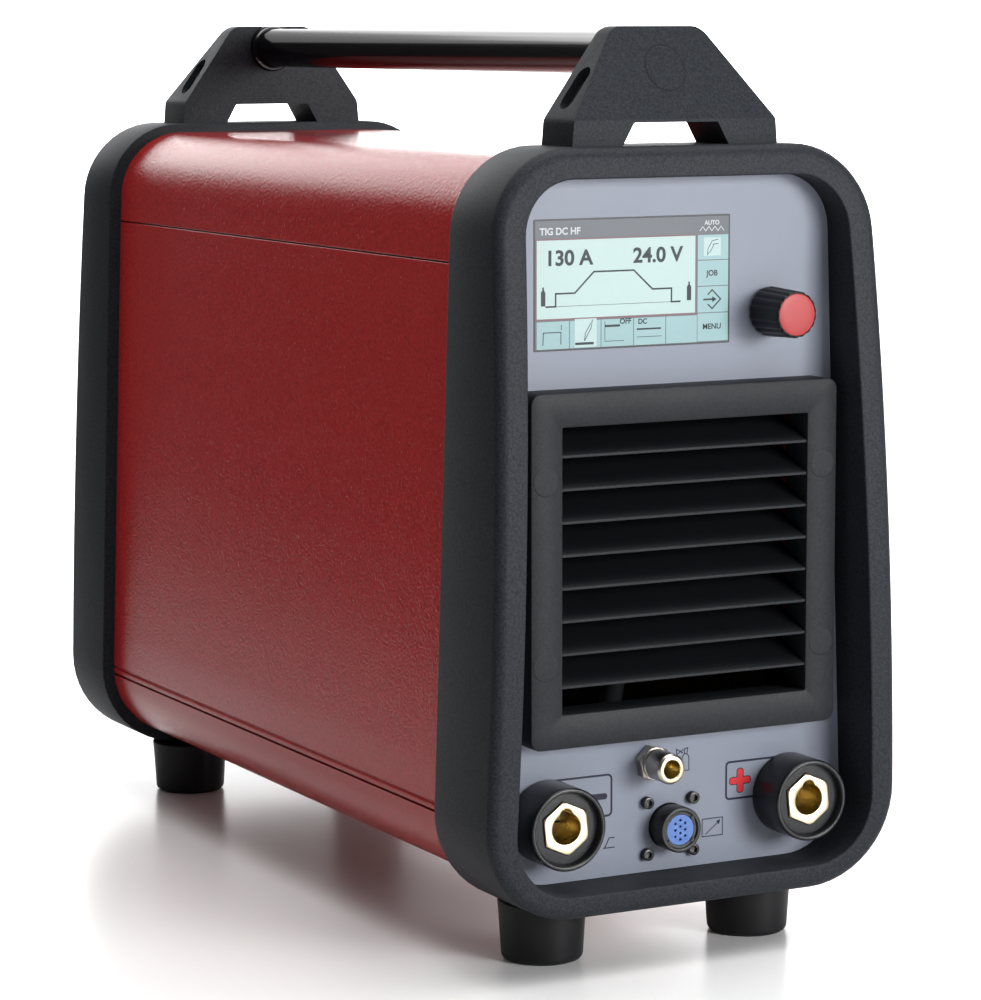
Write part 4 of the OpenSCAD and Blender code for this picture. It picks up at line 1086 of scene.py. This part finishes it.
# ---------------------------------------------------------------- gas outlet and remote connector

def hex_body(shape, centre, corner, turn, y_near, y_far):
    """Hexagon bar across Y whose near end has the turned chamfer of a nut."""
    s = 1 if y_far > y_near else -1
    length = abs(y_far - y_near)
    rings = [[], [], [], [], [], []]
    for k in range(96):
        a = 2 * pi * k / 96
        edge = hex_radius(a, corner, turn + 30)
        cut = min(edge, corner * cos(radians(30)) * 1.015)
        steps = ((0, 0), (cut - 0.1, 0), (cut, 0.08), (edge, (edge - cut) * 0.58 + 0.12), (edge, length),
                 (0, length))
        for ring, (r, d) in zip(rings, steps):
            ring.append((centre[0] + r * cos(a), y_near + s * d, centre[1] + r * sin(a)))
    shape.loft(rings)


def gas_nipple():
    """Nickel nut and barrel with a brass rim and bore."""
    tip = FACE - 18.8
    shape = Shape()
    hex_body(shape, GAS, 8.3, 14, FACE - 4.8, FACE)
    barrel = soften([(FACE - 4.6, 6.9), (FACE - 6.4, 6.9), (FACE - 6.7, 6.5), (FACE - 7.1, 6.5),
                     (FACE - 7.4, 6.8), (FACE - 17.8, 6.8), (tip, 5.9)], 0.15, closed=False)
    shape.turned(GAS, barrel, 72, caps=False)
    rim = [(tip, 5.9), (tip - 0.15, 5.6), (tip - 0.15, 4.5), (tip + 0.3, 4.2)]
    shape.turned(GAS, rim, 72, mat=2, caps=False)
    bore = [(tip + 0.3, 4.2), (FACE - 7, 4.1), (FACE - 5.6, 2.2), (FACE + 4, 2.2), (FACE + 4, 0)]
    shape.turned(GAS, bore, 48, mat=1, caps=False)
    stem = soften([(FACE, 5), (FACE + 3, 5), (FACE + 3, 8), (FACE + 7, 8), (FACE + 7, 5), (FACE + 11, 5),
                   (FACE + 11, 3.2), (FACE + 23, 3.2)], 0.2, closed=False)
    shape.turned(GAS, stem, 40)
    piece("gas_nipple", shape, "nickel brass_bore brass", "gas_outlet", sharp=30)


def remote_ring():
    """Connector shell with four keys inside its rim."""
    rear, flange, front = FACE_BACK + 12, FACE - 3.4, FACE - 11.3
    profile = soften([(rear, 7.0), (rear, 9.9), (flange, 9.9), (flange, 10.25), (front, 10.25),
                      (front, 8.3), (front + 1, 8.2), (front + 1, 7.0)],
                     [0, 0.3, 0.1, 0.3, 0.8, 0.6, 0.2, 0], closed=False, steps=5)
    shape = Shape()
    shape.turned(REMOTE, profile, 96, caps=False)
    for angle in (40, 140, 220, 320):
        c, s = cos(radians(angle)), sin(radians(angle))
        key = [(REMOTE[0] + c * r - s * t, REMOTE[1] + s * r + c * t)
               for r, t in ((6.95, -0.8), (8.6, -0.8), (8.6, 0.8), (6.95, 0.8))]
        shape.slab(soften(key, 0.25), [], front + 0.2, front + 1.1)
    piece("remote_ring", shape, "switch_black", "remote_shell", sharp=35)


def remote_contacts():
    """Blue insert with ten contact holes in three columns."""
    pitch = 2.9
    spots = [(0, k * pitch) for k in (-1.5, -0.5, 0.5, 1.5)]
    spots += [(s * 2.5, k * pitch) for s in (-1, 1) for k in (-1, 0, 1)]
    holes = [circle(REMOTE[0] + x, REMOTE[1] + z, 0.62, 16) for x, z in spots]
    shape = Shape()
    shape.slab(circle(*REMOTE, 6.8, 64), holes, FACE - 10.25, FACE - 8.5)
    # Near-black body behind the insert's face: painted shade seen through the contact holes.
    shape.slab(circle(*REMOTE, 6.8, 64), [], FACE - 8.5, FACE_BACK + 9, 1)
    piece("remote_contacts", shape, "insert_blue hole_dark", "remote_insert")


def remote_screws():
    """Four socket-head screws at the corners of the connector."""
    top = FACE - 3

    def socket_rim(a, r, y):
        return min(r, hex_radius(a, r, 15)) if r < 1.76 else r

    profile = [(FACE, 0), (FACE, 2.7), (top + 0.5, 2.75), (top + 0.15, 2.62), (top, 2.3), (top, 1.75),
               (top + 0.1, 1.6), (top + 1.5, 1.55), (top + 1.7, 0)]
    shape = Shape()
    for dx in (-11.7, 11.7):
        for dz in (-11.7, 11.7):
            shape.turned((REMOTE[0] + dx, REMOTE[1] + dz), profile, 48, rim=socket_rim)
    piece("remote_screw_heads", shape, "screw_black", "remote_screws", sharp=30)


gas_nipple()
remote_ring()
remote_contacts()
remote_screws()


# ---------------------------------------------------------------- rear

SWITCH = middle_xz("mains_switch_body")
GLAND = middle_xz("cable_gland")
INLET = middle_xz("gas_inlet")


def back_plate():
    holes = [grille_hole, circle(*SWITCH, 12.1, 32), circle(*GLAND, 12.6, 32), circle(*INLET, 6.6, 24)]
    shape = Shape()
    shape.slab(opening(0.2), holes, BACK_INNER, BACK)
    piece("back_plate", shape, "rear_panel_paint", "rear_panel")


def block_steps(shape, centre, wide, tall, corner, base, steps):
    """Round-cornered block across Y; steps holds (growth, place) pairs from its base."""
    shape.loft([upright(rounded(*centre, wide + grow, tall + grow, corner(grow)), base + d)
                for grow, d in steps], capped=True)


def switch_plate():
    """Square plate of the mains switch, its body behind the panel, and two marks."""
    shape = Shape()
    block_steps(shape, SWITCH, 50, 50, lambda grow: 5 + grow / 2, BACK,
                ((0, 0), (0, 3.0), (-0.6, 3.75), (-1.8, 4.0)))
    shape.slab(rounded(*SWITCH, 44, 44, 2), [], BACK_INNER - 46, BACK_INNER)
    shape.slab(circle(*SWITCH, 12, 48), [], BACK_INNER, BACK)
    piece("switch_plate", shape, "switch_black", "mains_switch_body")
    marks = Shape()
    for angle in (90, 180):
        c, s = cos(radians(angle)), sin(radians(angle))
        marks.stroke([(SWITCH[0] + c * r, SWITCH[1] + s * r) for r in (20, 22.6)], 0.9,
                     BACK + 3.99, BACK + 4.05)
    piece("switch_marks", marks, "display_light")


def switch_dial():
    """Red dial with a straight grip and its shaft."""
    base = BACK + 4.35
    shape = Shape()
    disc = soften([(base, 0), (base, 18.5), (base + 5, 17.5), (base + 5, 0)], [0, 0.5, 1.5, 0], closed=False)
    shape.turned(SWITCH, disc, 96)
    block_steps(shape, SWITCH, 8, 32, lambda grow: 2.4, base,
                ((0, 4.9), (-0.4, 12.4), (-1.0, 13.4), (-2.4, 14.0)))
    shape.slab(circle(*SWITCH, 4, 24), [], BACK_INNER - 16, base)
    piece("switch_dial", shape, "switch_red", "mains_switch_knob", "mains_switch")


def cable_entry():
    """Cable gland: two nuts outside, a dome, and the lock nut inside."""
    shape = Shape()
    hex_body(shape, GLAND, 17.3, 0, BACK + 6, BACK)
    collar = [(BACK + 5.8, 6.6), (BACK + 5.8, 13.5), (BACK + 9.2, 13.5), (BACK + 9.2, 6.6)]
    shape.turned(GLAND, soften(collar, 0.3, closed=False), 64)
    hex_body(shape, GLAND, 16.2, 10, BACK + 18, BACK + 9)
    dome = [(BACK + 17.8, 6.6), (BACK + 17.8, 13.6), (BACK + 22, 10.5), (BACK + 22, 6.5), (BACK + 12, 6.5)]
    shape.turned(GLAND, soften(dome, [0, 0.4, 1.2, 0.5, 0], closed=False), 64)
    inside = BACK_INNER - 12
    shape.turned(GLAND, [(inside, 6.6), (inside, 12.5), (BACK, 12.5), (BACK, 6.6)], 48)
    hex_body(shape, GLAND, 17.3, 0, BACK_INNER - 6, BACK_INNER)
    # Dark disc inside the dome: painted shade in the cable bore.
    shape.slab(circle(*GLAND, 6.5, 32), [], BACK + 12, BACK + 12.2, 1)
    piece("cable_entry", shape, "switch_black hole_dark", "cable_gland", sharp=30)


def hose_inlet():
    """Brass gas inlet with a threaded spigot outside and a nut inside."""
    tail = box_mm("gas_inlet")[0][1]
    shape = Shape()
    hex_body(shape, INLET, 11, 0, BACK + 6, BACK)
    threads = [(BACK + 5.9, 6.2)]
    for k in range(12):
        threads += [(BACK + 6.3 + k * 1.05, 6.05), (BACK + 6.8 + k * 1.05, 6.6)]
    threads += [(BACK + 19.4, 6.3), (BACK + 20, 5.6), (BACK + 20, 5.2), (BACK + 15, 2.5), (BACK + 15, 0)]
    shape.turned(INLET, threads, 64)
    hex_body(shape, INLET, 11, 0, BACK_INNER - 5, BACK_INNER)
    neck = BACK_INNER - 6
    shape.turned(INLET, [(tail, 0), (tail, 5), (neck, 5), (neck, 6.5), (BACK, 6.5), (BACK, 0)], 40)
    piece("hose_inlet", shape, "brass", "gas_inlet", sharp=30)


def back_screws():
    """Round-head screws with hexagon sockets, near the corners of the rear panel."""
    def socket_rim(a, r, y):
        return hex_radius(a, r) if r < 1.7 else r

    head = [(0, 3.6), (0.9, 3.5), (1.8, 3.0), (2.2, 2.3), (2.2, 1.75), (2.1, 1.65), (0.8, 1.6), (0.7, 0)]
    profile = [(BACK_INNER, 0), (BACK_INNER, 1.8), (BACK, 1.8)] + [(BACK + y, r) for y, r in head]
    shape = Shape()
    for x, z in ((-66, 334), (66, 334), (-78, 62), (78, 62)):
        shape.turned((x, z), profile, 48, rim=socket_rim)
    piece("back_screws", shape, "zinc_steel", "rear_screws", sharp=30)


back_plate()
switch_plate()
switch_dial()
cable_entry()
hose_inlet()
back_screws()


# ---------------------------------------------------------------- carried-over parts inside

# Parts inside the case; the chassis steel is darkened there as painted shade.
SLOT_OF = {
    "foot_screws": "zinc_steel", "handle_screws": "zinc_steel", "display_module": "display_case",
    "display_board": "board_green", "encoder_body": "encoder_metal", "encoder_nut": "brass",
    "encoder_plunger": "encoder_metal", "encoder_shaft": "encoder_metal", "socket_nuts": "switch_black",
    "chassis_plate": "inside_steel_shaded", "wind_tunnel": "inside_steel_shaded", "fan_frame": "fan_black",
    "fan_rotor": "fan_black", "heat_sink": "sink_aluminium", "power_modules": "module_black",
    "power_board": "board_green", "bulk_capacitors": "capacitor_blue", "control_board": "board_green",
    "transformer_core": "core_iron", "transformer_winding": "copper", "output_inductor": "copper",
    "ignition_unit": "ignition_red", "busbars": "copper", "valve_body": "brass",
    "valve_plunger": "encoder_metal", "gas_hose": "hose_black",
}
for node, material in SLOT_OF.items():
    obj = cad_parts[node]
    if not obj.data.materials:
        obj.data.materials.append(None)
    for slot in obj.material_slots:
        slot.material = M[material]


# ---------------------------------------------------------------- stage, light and camera

def stage_sheet(name, corners, colour, rough):
    """Flat sheet of the studio, which isn't part of the object; corners are in metres."""
    material = bpy.data.materials.new(name + "_surface")
    material.use_nodes = True
    shader = material.node_tree.nodes["Principled BSDF"]
    shader.inputs["Base Color"].default_value = (*colour, 1)
    shader.inputs["Roughness"].default_value = rough
    shader.inputs["Specular IOR Level"].default_value = 0.25
    mesh = bpy.data.meshes.new(name)
    mesh.from_pydata(corners, [], [range(len(corners))])
    mesh.materials.append(material)
    obj = bpy.data.objects.new(name, mesh)
    bpy.context.scene.collection.objects.link(obj)
    return obj


def area_light(name, place, aim, size, power):
    """Rectangular lamp that the camera doesn't see; places are in metres."""
    lamp = bpy.data.lights.new(name, "AREA")
    lamp.shape = "RECTANGLE"
    lamp.size, lamp.size_y = size
    lamp.energy = power
    obj = bpy.data.objects.new(name, lamp)
    obj.location = Vector(place)
    obj.rotation_mode = "QUATERNION"
    obj.rotation_quaternion = (Vector(aim) - Vector(place)).to_track_quat("-Z", "Y")
    bpy.context.scene.collection.objects.link(obj)
    obj.visible_camera = False
    return obj


REACH, WALL = 16.0, 30.0         # how far the floor runs to the sides and to the back
stage_sheet("floor", [(-REACH, -REACH, 0), (REACH, -REACH, 0), (REACH, WALL, 0), (-REACH, WALL, 0)],
            (0.86, 0.86, 0.86), 0.24)

world = bpy.data.worlds.new("studio")
bpy.context.scene.world = world
world.use_nodes = True
world.node_tree.nodes["Background"].inputs["Color"].default_value = (1.0, 1.0, 1.0, 1)
world.node_tree.nodes["Background"].inputs["Strength"].default_value = 0.16

area_light("top_soft", (0.2, 0.2, 2.2), (0, 0, 0.2), (2.4, 2.0), 40)
area_light("key_soft", (1.1, -2.7, 0.72), (0, -0.2, 0.15), (1.3, 0.9), 94)
# The sky behind the object only adds its sheen
sky = area_light("sky_soft", (-1.9, 3.0, 2.7), (0, 0, 0.4), (6.0, 2.6), 72)
sky.visible_diffuse = False
# The backdrop is a lamp that the camera sees as a white wall
backdrop = area_light("backdrop", (2.6, 4.4, 1.5), (0, 0, 0.9), (9.0, 3.4), 300)
backdrop.visible_camera = True

# A dark card beside the object, for its reflection only
card = stage_sheet("card", [(-0.4, -1.2, 0.002), (-0.4, 3.0, 0.002), (-0.42, 3.0, 0.62), (-0.42, -1.2, 0.62)],
                   (0.02, 0.02, 0.02), 0.9)
card.visible_camera = card.visible_diffuse = card.visible_shadow = False

even_top = bpy.data.lights.new("even_top", "SUN")
even_top.energy = 1.6
even_top.angle = radians(50)
lamp = bpy.data.objects.new("even_top", even_top)
lamp.rotation_euler = (radians(12), radians(10), 0)
bpy.context.scene.collection.objects.link(lamp)

# Camera to the front left of the object, a little above its top
CAMERA = (-785.7, -1541.5, 410.3)
HEADING, DIP, ROLL = radians(-27.778), radians(7.655), radians(-0.112)
forward = Vector((sin(-HEADING) * cos(DIP), cos(HEADING) * cos(DIP), -sin(DIP)))
level_right = forward.cross(Vector((0, 0, 1))).normalized()
level_up = level_right.cross(forward).normalized()
right = level_right * cos(ROLL) + level_up * sin(ROLL)
up = level_up * cos(ROLL) - level_right * sin(ROLL)
camera_data = bpy.data.cameras.new("camera")
camera_data.sensor_width = 36
camera_data.lens = 127.1
camera_data.clip_start, camera_data.clip_end = 0.1, 100
camera = bpy.data.objects.new("camera", camera_data)
turn = Matrix((right, up, -forward)).transposed().to_4x4()
camera.matrix_world = Matrix.Translation(Vector(CAMERA) * MM) @ turn
bpy.context.scene.collection.objects.link(camera)
bpy.context.scene.camera = camera
bpy.context.scene.view_settings.view_transform = "Standard"
